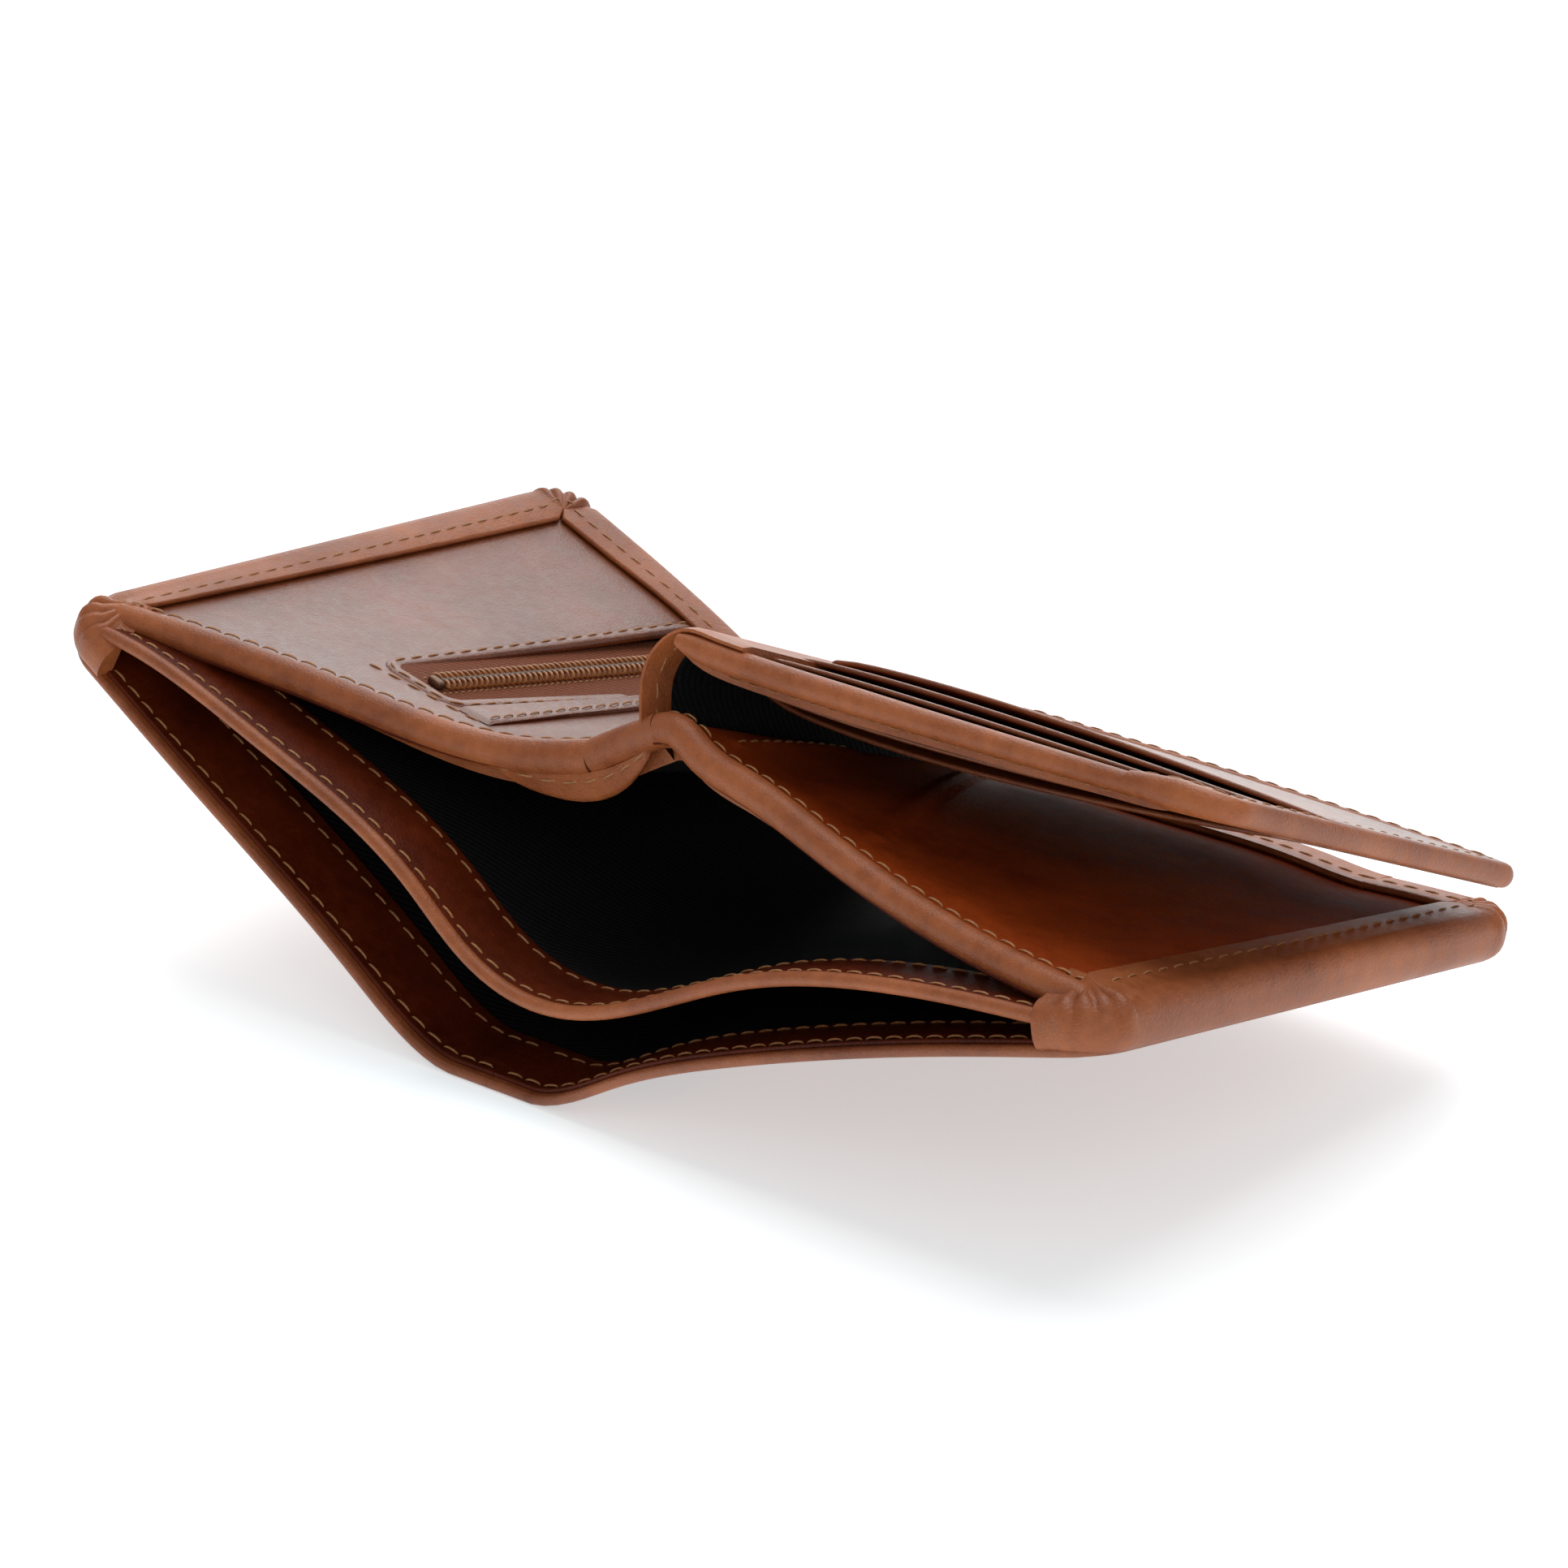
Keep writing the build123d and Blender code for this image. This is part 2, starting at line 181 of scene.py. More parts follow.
class Leaf:
    """A leaf of the cover: points by distance from the spine band's middle, y and height."""

    def __init__(self, side):
        mouth, foot = COVER_PROFILES[side]
        self.mouth, self.foot = Curve(mouth), Curve(foot)
        self.sign = -1 if side == "left" else 1
        self.width = (self.mouth.length + self.foot.length) / 2

    def raw(self, a, y):
        share = ((y - MOUTH) / HEIGHT)[..., None]
        xz = (1 - share) * self.mouth(a / self.width) + share * self.foot(a / self.width)
        return np.stack([xz[..., 0], y, np.maximum(xz[..., 1], 0)], axis=-1)

    def at(self, a, y, height):
        a, y = np.broadcast_arrays(np.asarray(a, float), np.asarray(y, float))
        p = self.raw(a, y)
        across = self.raw(a + 0.5, y) - self.raw(a - 0.5, y)
        along = self.raw(a, y + 0.5) - self.raw(a, y - 0.5)
        n = np.cross(across, along) * self.sign
        n /= np.linalg.norm(n, axis=-1, keepdims=True)
        return p + n * np.asarray(height, float)[..., None]


LEAVES = {side: Leaf(side) for side in COVER_PROFILES}


class Panel:
    """A sheet ruled from its mouth edge to the foot of a leaf, by shares t and s of its sides."""

    def __init__(self, mouth_points, foot_points, sag=0.0):
        self.mouth, self.foot, self.sag = Curve(mouth_points), Curve(foot_points), sag

    def raw(self, t, s):
        s = np.asarray(s, float)[..., None]
        p = (1 - s) * self.mouth(t) + s * self.foot(t)
        bow = np.sin(np.pi * np.clip(s[..., 0], 0, 1)) * np.sin(np.pi * np.clip(t, 0, 1))
        p[..., 2] -= self.sag * bow
        return p

    def at(self, t, s, height=0.0):
        t, s = np.broadcast_arrays(np.asarray(t, float), np.asarray(s, float))
        e = 0.004
        n = np.cross(self.raw(t + e, s) - self.raw(t - e, s), self.raw(t, s + e) - self.raw(t, s - e))
        n /= np.linalg.norm(n, axis=-1, keepdims=True)
        n *= np.where(n[..., 2:] < 0, -1.0, 1.0)
        return self.raw(t, s) + n * np.asarray(height, float)[..., None]


def run_y(x, side):
    """Where along the wallet the inner panels' mouth edge lies at x."""
    near, far = PANEL_RUNS[side]
    return RUN_START + RUN_SETBACK * (1 - np.clip((x - near) / (far - near), 0, 1))


def panel(side, drop=0.0):
    """An inner panel, whose foot edge is free near the spine and sewn down beyond."""
    leaf = LEAVES[side]
    mouth = [(x, run_y(x, side), z - drop) for x, z in PANEL_MOUTHS[side]]
    free, sewn_from = FREE_FOOT[side]
    foot = [(x, PANEL_FOOT, z - drop) for x, z in free]
    sewn = np.linspace(sewn_from, 0.995 * leaf.width, 4)
    foot += list(leaf.at(sewn, PANEL_FOOT, PANEL_AT + 0.3 - drop * 0.7))
    return Panel(mouth, foot, sag=0.5)


class Flat:
    """A plane with its own x, y and height."""

    def __init__(self, origin, x_dir, normal):
        self.origin = np.array(origin, float)
        self.z = np.array(normal, float) / np.linalg.norm(normal)
        x = np.array(x_dir, float)
        x -= self.z * (x @ self.z)
        self.x = x / np.linalg.norm(x)
        self.y = np.cross(self.z, self.x)

    def at(self, x, y, height=0.0):
        x, y, height = np.broadcast_arrays(*(np.asarray(v, float)[..., None] for v in (x, y, height)))
        return self.origin + self.x * x + self.y * y + self.z * height


FLAP = Flat(*FLAP_PLANE)
ZIP = Flat(*ZIP_PLANE)


class Relief:
    """Heights of a surface over a plane, looked up in a grid of its points."""

    def __init__(self, plane, grid):
        away = grid.reshape(-1, 3) - plane.origin
        self.x, self.y, self.height = away @ plane.x, away @ plane.y, away @ plane.z

    def __call__(self, x, y):
        x, y = np.broadcast_arrays(np.asarray(x, float), np.asarray(y, float))
        found = np.empty(x.size)
        for i, (u, v) in enumerate(zip(x.ravel(), y.ravel())):
            away = (self.x - u) ** 2 + (self.y - v) ** 2
            near = np.argpartition(away, 4)[:4]
            weight = 1 / (away[near] + 1e-6)
            found[i] = weight @ self.height[near] / weight.sum()
        return found.reshape(x.shape)


def panel_tops(side, plane):
    """Heights of the top of a side's inner panel over a plane."""
    shares = np.linspace(0, 1, 120)
    t, s = np.meshgrid(shares, shares, indexing="ij")
    return Relief(plane, panel(side).at(t, s, PANEL))


FLOOR = Flat((0, 0, 0), (1, 0, 0), (0, 0, 1))
TOPS = {side: panel_tops(side, FLOOR) for side in LEAVES}
FOOT_WALL_END = {"left": 32.0, "right": 78.0}


# ---------------------------------------------------------------- meshes

def mesh(name, points, faces, material, smooth=True):
    """An object of points in millimetres, welded, with its faces turned outwards."""
    data = bpy.data.meshes.new(name)
    data.from_pydata((np.asarray(points, float) * MM).tolist(), [], [list(map(int, f)) for f in faces])
    made = bmesh.new()
    made.from_mesh(data)
    bmesh.ops.remove_doubles(made, verts=made.verts, dist=WELD)
    bmesh.ops.dissolve_degenerate(made, edges=made.edges, dist=SLIVER)
    bmesh.ops.recalc_face_normals(made, faces=made.faces)
    for edge in made.edges:
        if edge.calc_face_angle(0.0) > SHARP_ANGLE:
            edge.smooth = False
    made.to_mesh(data)
    made.free()
    data.shade_smooth() if smooth else data.shade_flat()
    data.materials.append(MATERIALS[material][0])
    thing = bpy.data.objects.new(name, data)
    bpy.context.scene.collection.objects.link(thing)
    return thing


def grid_faces(rows, columns, start=0, wrap=False):
    faces = []
    for i in range(rows - 1):
        for j in range(columns if wrap else columns - 1):
            k = (j + 1) % columns
            faces.append([start + i * columns + j, start + i * columns + k,
                          start + (i + 1) * columns + k, start + (i + 1) * columns + j])
    return faces


def slab(name, middle, distance, thickness, material, lift=0.0):
    """A sheet about a grid of points, its edges rounded by their distance from the grid's rim."""
    rows, columns = middle.shape[:2]
    half = thickness / 2
    rim = np.clip(distance / half, 0, 1)
    swell = half * np.sqrt(np.clip(1 - (1 - rim) ** 2, 0, 1))
    n = normals(middle)
    top = middle + n * (swell + lift * rim)[..., None]
    bottom = middle + n * (lift * rim - swell)[..., None]
    count = rows * columns
    faces = grid_faces(rows, columns) + grid_faces(rows, columns, count)
    border = [(0, j) for j in range(columns)] + [(i, columns - 1) for i in range(1, rows)]
    border += [(rows - 1, j) for j in range(columns - 2, -1, -1)] + [(i, 0) for i in range(rows - 2, 0, -1)]
    ids = [i * columns + j for i, j in border]
    for a, b in zip(ids, ids[1:] + ids[:1]):
        faces.append([a, b, b + count, a + count])
    return mesh(name, np.concatenate([top.reshape(-1, 3), bottom.reshape(-1, 3)]), faces, material)


def sweep(name, rings, material, smooth=True, closed=False):
    """A solid through rings of points, an array of stations by section points."""
    rings = np.asarray(rings, float)
    stations, around = rings.shape[:2]
    faces = grid_faces(stations, around, wrap=True)
    if closed:
        last = (stations - 1) * around
        for j in range(around):
            k = (j + 1) % around
            faces.append([last + j, last + k, k, j])
    else:
        faces += [list(range(around)), list(range((stations - 1) * around, stations * around))]
    return mesh(name, rings.reshape(-1, 3), faces, material, smooth)


def ticks(length, edge, step, first=True, last=True):
    """Distances from 0 to length, closer together at the ends that are rounded."""
    near = edge * np.array([0, 0.06, 0.25, 0.6, 1.0, 1.7])
    start = near if first else np.array([0.0])
    end = length - near[::-1] if last else np.array([length])
    count = max(int((end[0] - start[-1]) / step), 1)
    return np.concatenate([start, np.linspace(start[-1], end[0], count + 1)[1:-1], end])


def corner_cut(away, radius):
    """How far a rounded corner draws an edge in, at a distance from the other edge."""
    if radius <= 0:
        return np.zeros_like(away)
    inside = np.clip(radius - away, 0, radius)
    return radius - np.sqrt(radius ** 2 - inside ** 2)


def corner_distance(dx, dy, radius):
    """Distance from an outline with one rounded corner, from the distances to its two sides."""
    if radius <= 0:
        return np.minimum(dx, dy)
    curved = radius - np.hypot(np.clip(radius - dx, 0, None), np.clip(radius - dy, 0, None))
    return np.where((dx < radius) & (dy < radius), curved, np.minimum(dx, dy))


def sheet_grid(x, y, radii, half, step, first):
    """Places across and along a sheet and their distances from its edges, with the corners at
    x[1] rounded by radii at y[0] and y[1]."""
    across = ticks(x[1] - x[0], half, step, first) / (x[1] - x[0])
    along = y[0] + ticks(y[1] - y[0], half, step)
    for corner, radius in ((y[0], radii[0]), (y[1], -radii[1])):
        if radius:
            along = np.unique(np.concatenate([along, corner + radius * (1 - np.cos(CORNER_ANGLES))]))
    u, v = np.meshgrid(across, along, indexing="ij")
    near, far = v - y[0], y[1] - v
    end = x[1] - corner_cut(near, radii[0]) - corner_cut(far, radii[1])
    where = x[0] + u * (end - x[0])
    outer = x[1] - where
    distance = np.minimum(corner_distance(outer, near, radii[0]), corner_distance(outer, far, radii[1]))
    return where, v, distance


def leaf_sheet(name, side, height, thickness, width, y, material, radii=(0, 0), seams=()):
    """A sheet of a leaf at one height, from the spine band to width and from y[0] to y[1]."""
    half = thickness / 2
    where, v, distance = sheet_grid((0, width), y, radii, half, LEAF_STEP, first=False)
    lift = np.zeros_like(distance)
    for seam in seams:
        lift -= GROOVE[0] * np.exp(-((v - y[0] - seam) / GROOVE[1]) ** 2)
    return slab(name, LEAVES[side].at(where, v, height + half), distance, thickness, material, lift)


def panel_sheet(name, surface, t, s, thickness, height, material, open_t=(True, False),
                step=PANEL_STEP, bump=None):
    """A sheet on a panel surface, over shares t and s of its sides. Its ends in open_t aren't rounded."""
    width = (surface.mouth.length + surface.foot.length) / 2 * (t[1] - t[0])
    depth = np.linalg.norm(surface.raw(0.5, 1.0) - surface.raw(0.5, 0.0)) * (s[1] - s[0])
    half = thickness / 2
    u, v = np.meshgrid(ticks(width, half, step, not open_t[0], not open_t[1]), ticks(depth, half, step),
                       indexing="ij")
    distance = np.minimum(v, depth - v)
    for is_open, away in zip(open_t, (u, width - u)):
        if not is_open:
            distance = np.minimum(distance, away)
    tt, ss = t[0] + u / width * (t[1] - t[0]), s[0] + v / depth * (s[1] - s[0])
    lift = bump(tt, ss) if bump else np.zeros_like(u)
    return slab(name, surface.at(tt, ss, height), distance, thickness, material, lift)


def flat_sheet(name, plane, x, y, level, thickness, material, radii=(0, 0), gape=0.0, settle=None):
    """A sheet in a plane, its top at level. Its edge at y[0] stands up by gape, and settle gives
    its height at an x."""
    half = thickness / 2
    where, v, distance = sheet_grid(x, y, radii, half, FLAT_STEP, first=True)
    distance = np.minimum(distance, where - x[0])
    height = np.full(where.shape, level - half)
    if settle:
        height = settle(where, height)
    share = np.clip((where - x[0]) / (x[1] - x[0]), 0, 1)
    height += gape * np.sin(np.pi * share ** 0.6) ** 0.7 * np.exp(-(v - y[0]) / 7)
    return slab(name, plane.at(where, v, height), distance, thickness, material)


def unit(v):
    return v / (np.linalg.norm(v, axis=-1, keepdims=True) + 1e-12)


def stitches(name, path, up, body=None, pitch=STITCH_PITCH, length=STITCH, thread=THREAD):
    """A seam's thread: short rounded stitches along a path of dense points, lying on its surface."""
    path, up = np.asarray(path, float), unit(np.asarray(up, float))
    s = np.concatenate([[0], np.cumsum(np.linalg.norm(np.diff(path, axis=0), axis=1))])
    count = max(int((s[-1] + pitch - length) / pitch), 1)
    step = s[-1] / count
    points, faces = [], []
    profile = np.array([0.0, 0.12, 0.35, 0.65, 0.88, 1.0])
    rise = np.array([-0.9, 0.05, 0.55, 0.55, 0.05, -0.9]) * thread
    girth = np.array([0.45, 0.9, 1.0, 1.0, 0.9, 0.45]) * thread
    for i in range(count):
        at = (i + 0.5) * step + (profile - 0.5) * min(length, step * 0.82)
        centre = np.stack([np.interp(at, s, path[:, k]) for k in range(3)], axis=-1)
        normal = unit(np.stack([np.interp(at, s, up[:, k]) for k in range(3)], axis=-1))
        along = unit(np.gradient(centre, axis=0))
        side = unit(np.cross(normal, along))
        centre = centre + normal * rise[:, None] + side * ((profile - 0.5) * SLANT * 2)[:, None]
        base = len(points)
        for c, n, w, g in zip(centre, normal, side, girth):
            for angle in np.arange(6) * math.pi / 3:
                points.append(c + g * (math.cos(angle) * w + 0.8 * math.sin(angle) * n))
        faces += grid_faces(6, 6, base, wrap=True)
        faces += [list(range(base, base + 6)), list(range(base + 30, base + 36))]
    thing = mesh(name, points, faces, "thread")
    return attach(thing, body) if body else thing


# ---------------------------------------------------------------- materials

def nodes_of(name):
    material = bpy.data.materials.new(name)
    material.use_nodes = True
    tree = material.node_tree
    return material, tree, tree.nodes["Principled BSDF"]


def add_node(tree, kind, **values):
    made = tree.nodes.new(kind)
    for key, value in values.items():
        if key in made.inputs:
            made.inputs[key].default_value = value
        else:
            setattr(made, key, value)
    return made


def noise(tree, place, **values):
    made = add_node(tree, "ShaderNodeTexNoise", **values)
    tree.links.new(place, made.inputs["Vector"])
    return made


def colour(tree, shader, factor, dark, light, low, high):
    """Base colour from dark where the factor is low to light where it is high."""
    ramp = add_node(tree, "ShaderNodeValToRGB")
    for stop, place, shade in zip(ramp.color_ramp.elements, (low, high), (dark, light)):
        stop.position, stop.color = place, (*shade, 1)
    tree.links.new(factor, ramp.inputs["Fac"])
    tree.links.new(ramp.outputs["Color"], shader.inputs["Base Color"])


def relief(tree, height, strength, distance):
    """A bump node over a height, with its depth in metres."""
    made = add_node(tree, "ShaderNodeBump", Strength=strength, Distance=distance)
    tree.links.new(height, made.inputs["Height"])
    return made


def leather(name, light, dark, roughness, coat, grain=0.35, wrinkle=0.25, shine=0.5):
    """Aniline leather: cloudy colour, fine pebbled grain and faint creases."""
    material, tree, shader = nodes_of(name)
    link = tree.links.new
    place = add_node(tree, "ShaderNodeTexCoord").outputs["Object"]
    cloud = noise(tree, place, Scale=55.0, Detail=5.0, Roughness=0.6)
    mottle = noise(tree, place, Scale=495.0, Detail=4.0, Roughness=0.65)
    warp = noise(tree, place, Scale=420.0, Detail=3.0)
    crease = noise(tree, place, Scale=160.0, Detail=6.0, Roughness=0.7, Distortion=1.2)
    spread = add_node(tree, "ShaderNodeVectorMath", operation="SCALE", Scale=0.0012)
    moved = add_node(tree, "ShaderNodeVectorMath", operation="ADD")
    pebble = add_node(tree, "ShaderNodeTexVoronoi", Scale=1500.0, feature="DISTANCE_TO_EDGE")
    link(warp.outputs["Color"], spread.inputs[0])
    link(place, moved.inputs[0])
    link(spread.outputs[0], moved.inputs[1])
    link(moved.outputs[0], pebble.inputs["Vector"])
    both = add_node(tree, "ShaderNodeMath", operation="MULTIPLY_ADD")
    both.inputs[1].default_value = 0.45
    link(mottle.outputs["Fac"], both.inputs[0])
    link(cloud.outputs["Fac"], both.inputs[2])
    colour(tree, shader, both.outputs[0], dark, light, 0.5, 0.95)
    ends = {"From Min": 0.3, "From Max": 0.7, "To Min": roughness - 0.06, "To Max": roughness + 0.08}
    rough = add_node(tree, "ShaderNodeMapRange", **ends)
    link(mottle.outputs["Fac"], rough.inputs["Value"])
    link(rough.outputs["Result"], shader.inputs["Roughness"])
    cells = add_node(tree, "ShaderNodeMapRange", **{"From Max": 0.22})
    link(pebble.outputs["Distance"], cells.inputs["Value"])
    broad = relief(tree, crease.outputs["Fac"], wrinkle, 0.0004)
    fine = relief(tree, cells.outputs["Result"], grain, 0.00009)
    link(broad.outputs["Normal"], fine.inputs["Normal"])
    link(fine.outputs["Normal"], shader.inputs["Normal"])
    shader.inputs["Coat Weight"].default_value = coat
    shader.inputs["Coat Roughness"].default_value = 0.28
    shader.inputs["Specular IOR Level"].default_value = shine
    return material


def ribbed(name, valley, ridge, pitch, turned, depth):
    """Cloth with diagonal ribs, for the twill lining and the zip's tape."""
    material, tree, shader = nodes_of(name)
    link = tree.links.new
    place = add_node(tree, "ShaderNodeTexCoord").outputs["Object"]
    turn = add_node(tree, "ShaderNodeMapping")
    turn.inputs["Rotation"].default_value = (0, 0, turned)
    ribs = add_node(tree, "ShaderNodeTexWave", Scale=0.314 / (pitch * MM), Distortion=0.4, Detail=1.0)
    fibre = noise(tree, place, Scale=2600.0, Detail=3.0)
    link(place, turn.inputs["Vector"])
    link(turn.outputs["Vector"], ribs.inputs["Vector"])
    shade = add_node(tree, "ShaderNodeMath", operation="MULTIPLY")
    link(ribs.outputs["Fac"], shade.inputs[0])
    link(fibre.outputs["Fac"], shade.inputs[1])
    colour(tree, shader, shade.outputs[0], valley, ridge, 0.05, 0.6)
    link(relief(tree, shade.outputs[0], 0.7, depth).outputs["Normal"], shader.inputs["Normal"])
    shader.inputs["Roughness"].default_value = 0.8
    shader.inputs["Specular IOR Level"].default_value = 0.2
    return material


def speckled(name, light, dark, roughness, metallic, scale, strength):
    """A small hard or fibrous thing with a slightly uneven colour and surface."""
    material, tree, shader = nodes_of(name)
    place = add_node(tree, "ShaderNodeTexCoord").outputs["Object"]
    specks = noise(tree, place, Scale=scale, Detail=4.0).outputs["Fac"]
    colour(tree, shader, specks, dark, light, 0.35, 0.65)
    tree.links.new(relief(tree, specks, strength, 0.0001).outputs["Normal"], shader.inputs["Normal"])
    shader.inputs["Roughness"].default_value = roughness
    shader.inputs["Metallic"].default_value = metallic
    return material


# Each material with the slot that it fills
MATERIALS = {
    "cover": (leather("cover_hide", (0.34, 0.098, 0.031), (0.17, 0.041, 0.011), 0.42, 0.06, shine=0.4),
              "cover_leather"),
    # The facing is the cover's hide with its colour darkened about threefold: painted shade for the dim inside of
    # the compartments, also used on the divider and the panels' facings
    "facing": (leather("facing_hide_painted_shade", (0.125, 0.018, 0.003), (0.05, 0.006, 0.0012), 0.42, 0.02, shine=0.14),
               "facing_leather"),
    "panel": (leather("panel_hide", (0.21, 0.054, 0.015), (0.11, 0.023, 0.005), 0.37, 0.2, wrinkle=0.5,
                      shine=0.42), "panel_leather"),
    "pocket": (leather("pocket_hide", (0.35, 0.056, 0.008), (0.17, 0.022, 0.0035), 0.6, 0.0, grain=0.6,
                       shine=0.03), "panel_leather"),
    "edge": (leather("edge_hide", (0.40, 0.118, 0.036), (0.20, 0.049, 0.013), 0.45, 0.04, wrinkle=0.4,
                     shine=0.35), "edge_leather"),
    "flap": (leather("flap_hide", (0.27, 0.074, 0.019), (0.14, 0.033, 0.008), 0.36, 0.2), "flap_leather"),
    "twill": (ribbed("black_twill", (0.0012, 0.0012, 0.0014), (0.009, 0.009, 0.010), 0.9, 0.8, 0.0002),
              "twill_lining"),
    "tape": (ribbed("woven_tape", (0.10, 0.026, 0.010), (0.30, 0.095, 0.045), 0.55, 0.4, 0.00015),
             "zip_tape"),
    "cord": (speckled("grey_cord", (0.16, 0.12, 0.10), (0.08, 0.06, 0.05), 0.6, 0.0, 2600.0, 0.6), "zip_tape"),
    "coil": (speckled("amber_coil", (0.42, 0.165, 0.05), (0.26, 0.085, 0.025), 0.28, 0.0, 900.0, 0.1),
             "zip_coil"),
    "metal": (speckled("old_brass", (0.55, 0.42, 0.24), (0.36, 0.26, 0.14), 0.3, 1.0, 700.0, 0.15),
              "zip_metal"),
    "stop": (speckled("dark_stop", (0.16, 0.075, 0.035), (0.09, 0.04, 0.02), 0.45, 0.5, 700.0, 0.1),
             "zip_metal"),
    "thread": (speckled("tan_thread", (0.42, 0.19, 0.065), (0.26, 0.10, 0.032), 0.6, 0.0, 3000.0, 0.6),
               "seam_thread"),
}


# ---------------------------------------------------------------- pieces of the leaves


def bend(piece):
    """The piece keeps its place: its placement is baked into its mesh."""
    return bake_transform(piece)


def flatten(piece, side):
    """The piece rides a leaf, on a mesh of its own."""
    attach(piece, f"{side}_leaf")
    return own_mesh(piece)


def leaf_line(side, y, start, end, height):
    """Path and normals of a seam across a leaf."""
    a = np.linspace(start, end, 200)
    low = LEAVES[side].at(a, y, height)
    return low, LEAVES[side].at(a, y, height + 0.3) - low


def make_cover(side):
    """A leaf of the cover: its shell, and the facing and twill inside it."""
    leaf = LEAVES[side]
    shell = leaf_sheet(f"cover_shell_{side}", side, 0.0, COVER + 0.25, leaf.width - 0.5,
                       (MOUTH - 0.3, FOOT + 0.5), "cover", radii=(CORNER, CORNER))
    nodes = [f"cover_{side}"] + (["cover_spine"] if side == "left" else [])
    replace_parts(bend(shell), *nodes)
    inner = leaf.width - 0.8
    facing_end = MOUTH + FACING_WIDTH
    facing = leaf_sheet(f"cover_inside_facing_{side}", side, COVER + 0.1, 0.75, inner, (MOUTH + 1.0, facing_end),
                        "facing", radii=(5, 0), seams=(1.3, FACING_WIDTH - 3.0))
    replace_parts(bend(facing), f"cover_facing_{side}")
    twill = leaf_sheet(f"cover_twill_{side}", side, COVER + 0.05, 0.4, inner, (facing_end - LAP, FOOT), "twill",
                       radii=(0, CORNER))
    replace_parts(bend(twill), f"cover_lining_{side}")
    for i, y in enumerate((MOUTH + 2.3, facing_end - 2.0)):
        path, up = leaf_line(side, y, 1.0, inner - 5, COVER + 0.85)
        bend(stitches(f"cover_seam_{side}_{i + 1}", path, up))


# The border at the outer corners: stations round a corner, its pleats and their height, where the
# border starts before the mouth corner, and the point of its section that the seam follows
PLEAT_STATIONS = 33
PLEATS = 4
PLEAT_HEIGHT = 0.8
BORDER_START = 9.0
SEAM_POINT = 14


def border_section(height, inner):
    """Section of the leather turned round a leaf's edge, as (outwards, up), starting underneath."""
    r = height * 0.42
    middle = 1.3 - r
    quarter = np.linspace(0, QUARTER, 7)
    bottom = [(middle + r * math.sin(v), r - r * math.cos(v)) for v in quarter]
    top = [(middle + r * math.cos(v), height - r + r * math.sin(v)) for v in quarter]
    lip = [(-inner - 0.45 * math.sin(v), height - 0.5 + 0.5 * math.cos(v)) for v in np.linspace(0, math.pi, 5)]
    back = [(-1.5, height - TURNED), (-1.5, 0.6), (-3.5, 0.6)]
    return np.array([(-3.5, 0.05)] + bottom + top + lip + back)


def border_path(leaf, start, end):
    """Stations round a leaf's outer edge, mouth corner to foot corner and along the foot, as
    (a, y, outward a, outward y, pleated)."""
    w = leaf.width - 0.3
    mouth = MOUTH + 0.4
    r = CORNER - 0.6
    turns = np.linspace(0, QUARTER, PLEAT_STATIONS)
    path = [(a, mouth, 0, -1, 0) for a in np.linspace(w - start, w - r, 5)[:-1]]
    path += [(w - r + r * math.sin(v), mouth + r - r * math.cos(v), math.sin(v), -math.cos(v), 1) for v in turns]
    path += [(w, y, 1, 0, 0) for y in np.linspace(mouth + r, FOOT - r, 40)[1:-1]]
    path += [(w - r + r * math.cos(v), FOOT - r + r * math.sin(v), math.cos(v), math.sin(v), 1) for v in turns]
    path += [(a, FOOT, 0, 1, 0) for a in np.linspace(w - r, end, 36)[1:]]
    return path


def make_border(side):
    """The cover's leather turned over the leaf's outer edge and onto the panel, pleated at corners."""
    leaf = LEAVES[side]
    section = border_section(STACK, TURNED_WIDTH)
    rings, seam, above = [], [], []
    turn = 0
    for a, y, oa, oy, pleated in border_path(leaf, BORDER_START, FOOT_WALL_END[side]):
        turn = turn + 1 if pleated else 0
        wave = abs(math.sin(turn / PLEAT_STATIONS * math.pi * PLEATS)) ** 0.7 - 0.6
        ring = []
        for o, h in section:
            raised = pleated and h > STACK * 0.45
            lift = PLEAT_HEIGHT * wave * min(1, (o + TURNED_WIDTH) / 3) if raised else 0.0
            away = (o * 0.8 if pleated and o < 0 else o) + 0.3 * lift
            point = leaf.at(a + away * oa, y + away * oy, h + lift)
            if o < -5 and h > STACK * 0.7:
                rest = TOPS[side](point[0], point[1]) + 0.12 + h - (STACK - TURNED)
                point[2] = max(point[2], rest)
            ring.append(point)
        rings.append(ring)
        if not (pleated and y < 0) and oy != -1:
            seam.append(ring[SEAM_POINT] + (ring[SEAM_POINT + 1] - ring[SEAM_POINT]) * 0.5)
            above.append(leaf.at(a, y, STACK + 0.3) - leaf.at(a, y, STACK))
    border = sweep(f"turned_border_{side}", rings, "edge")
    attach(border, f"{side}_leaf")
    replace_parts(border, f"turned_edge_{side}", f"turned_foot_{side}")
    stitches(f"border_seam_{side}", seam, above, f"{side}_leaf", thread=FINE_THREAD)
    make_foot_wall(side)


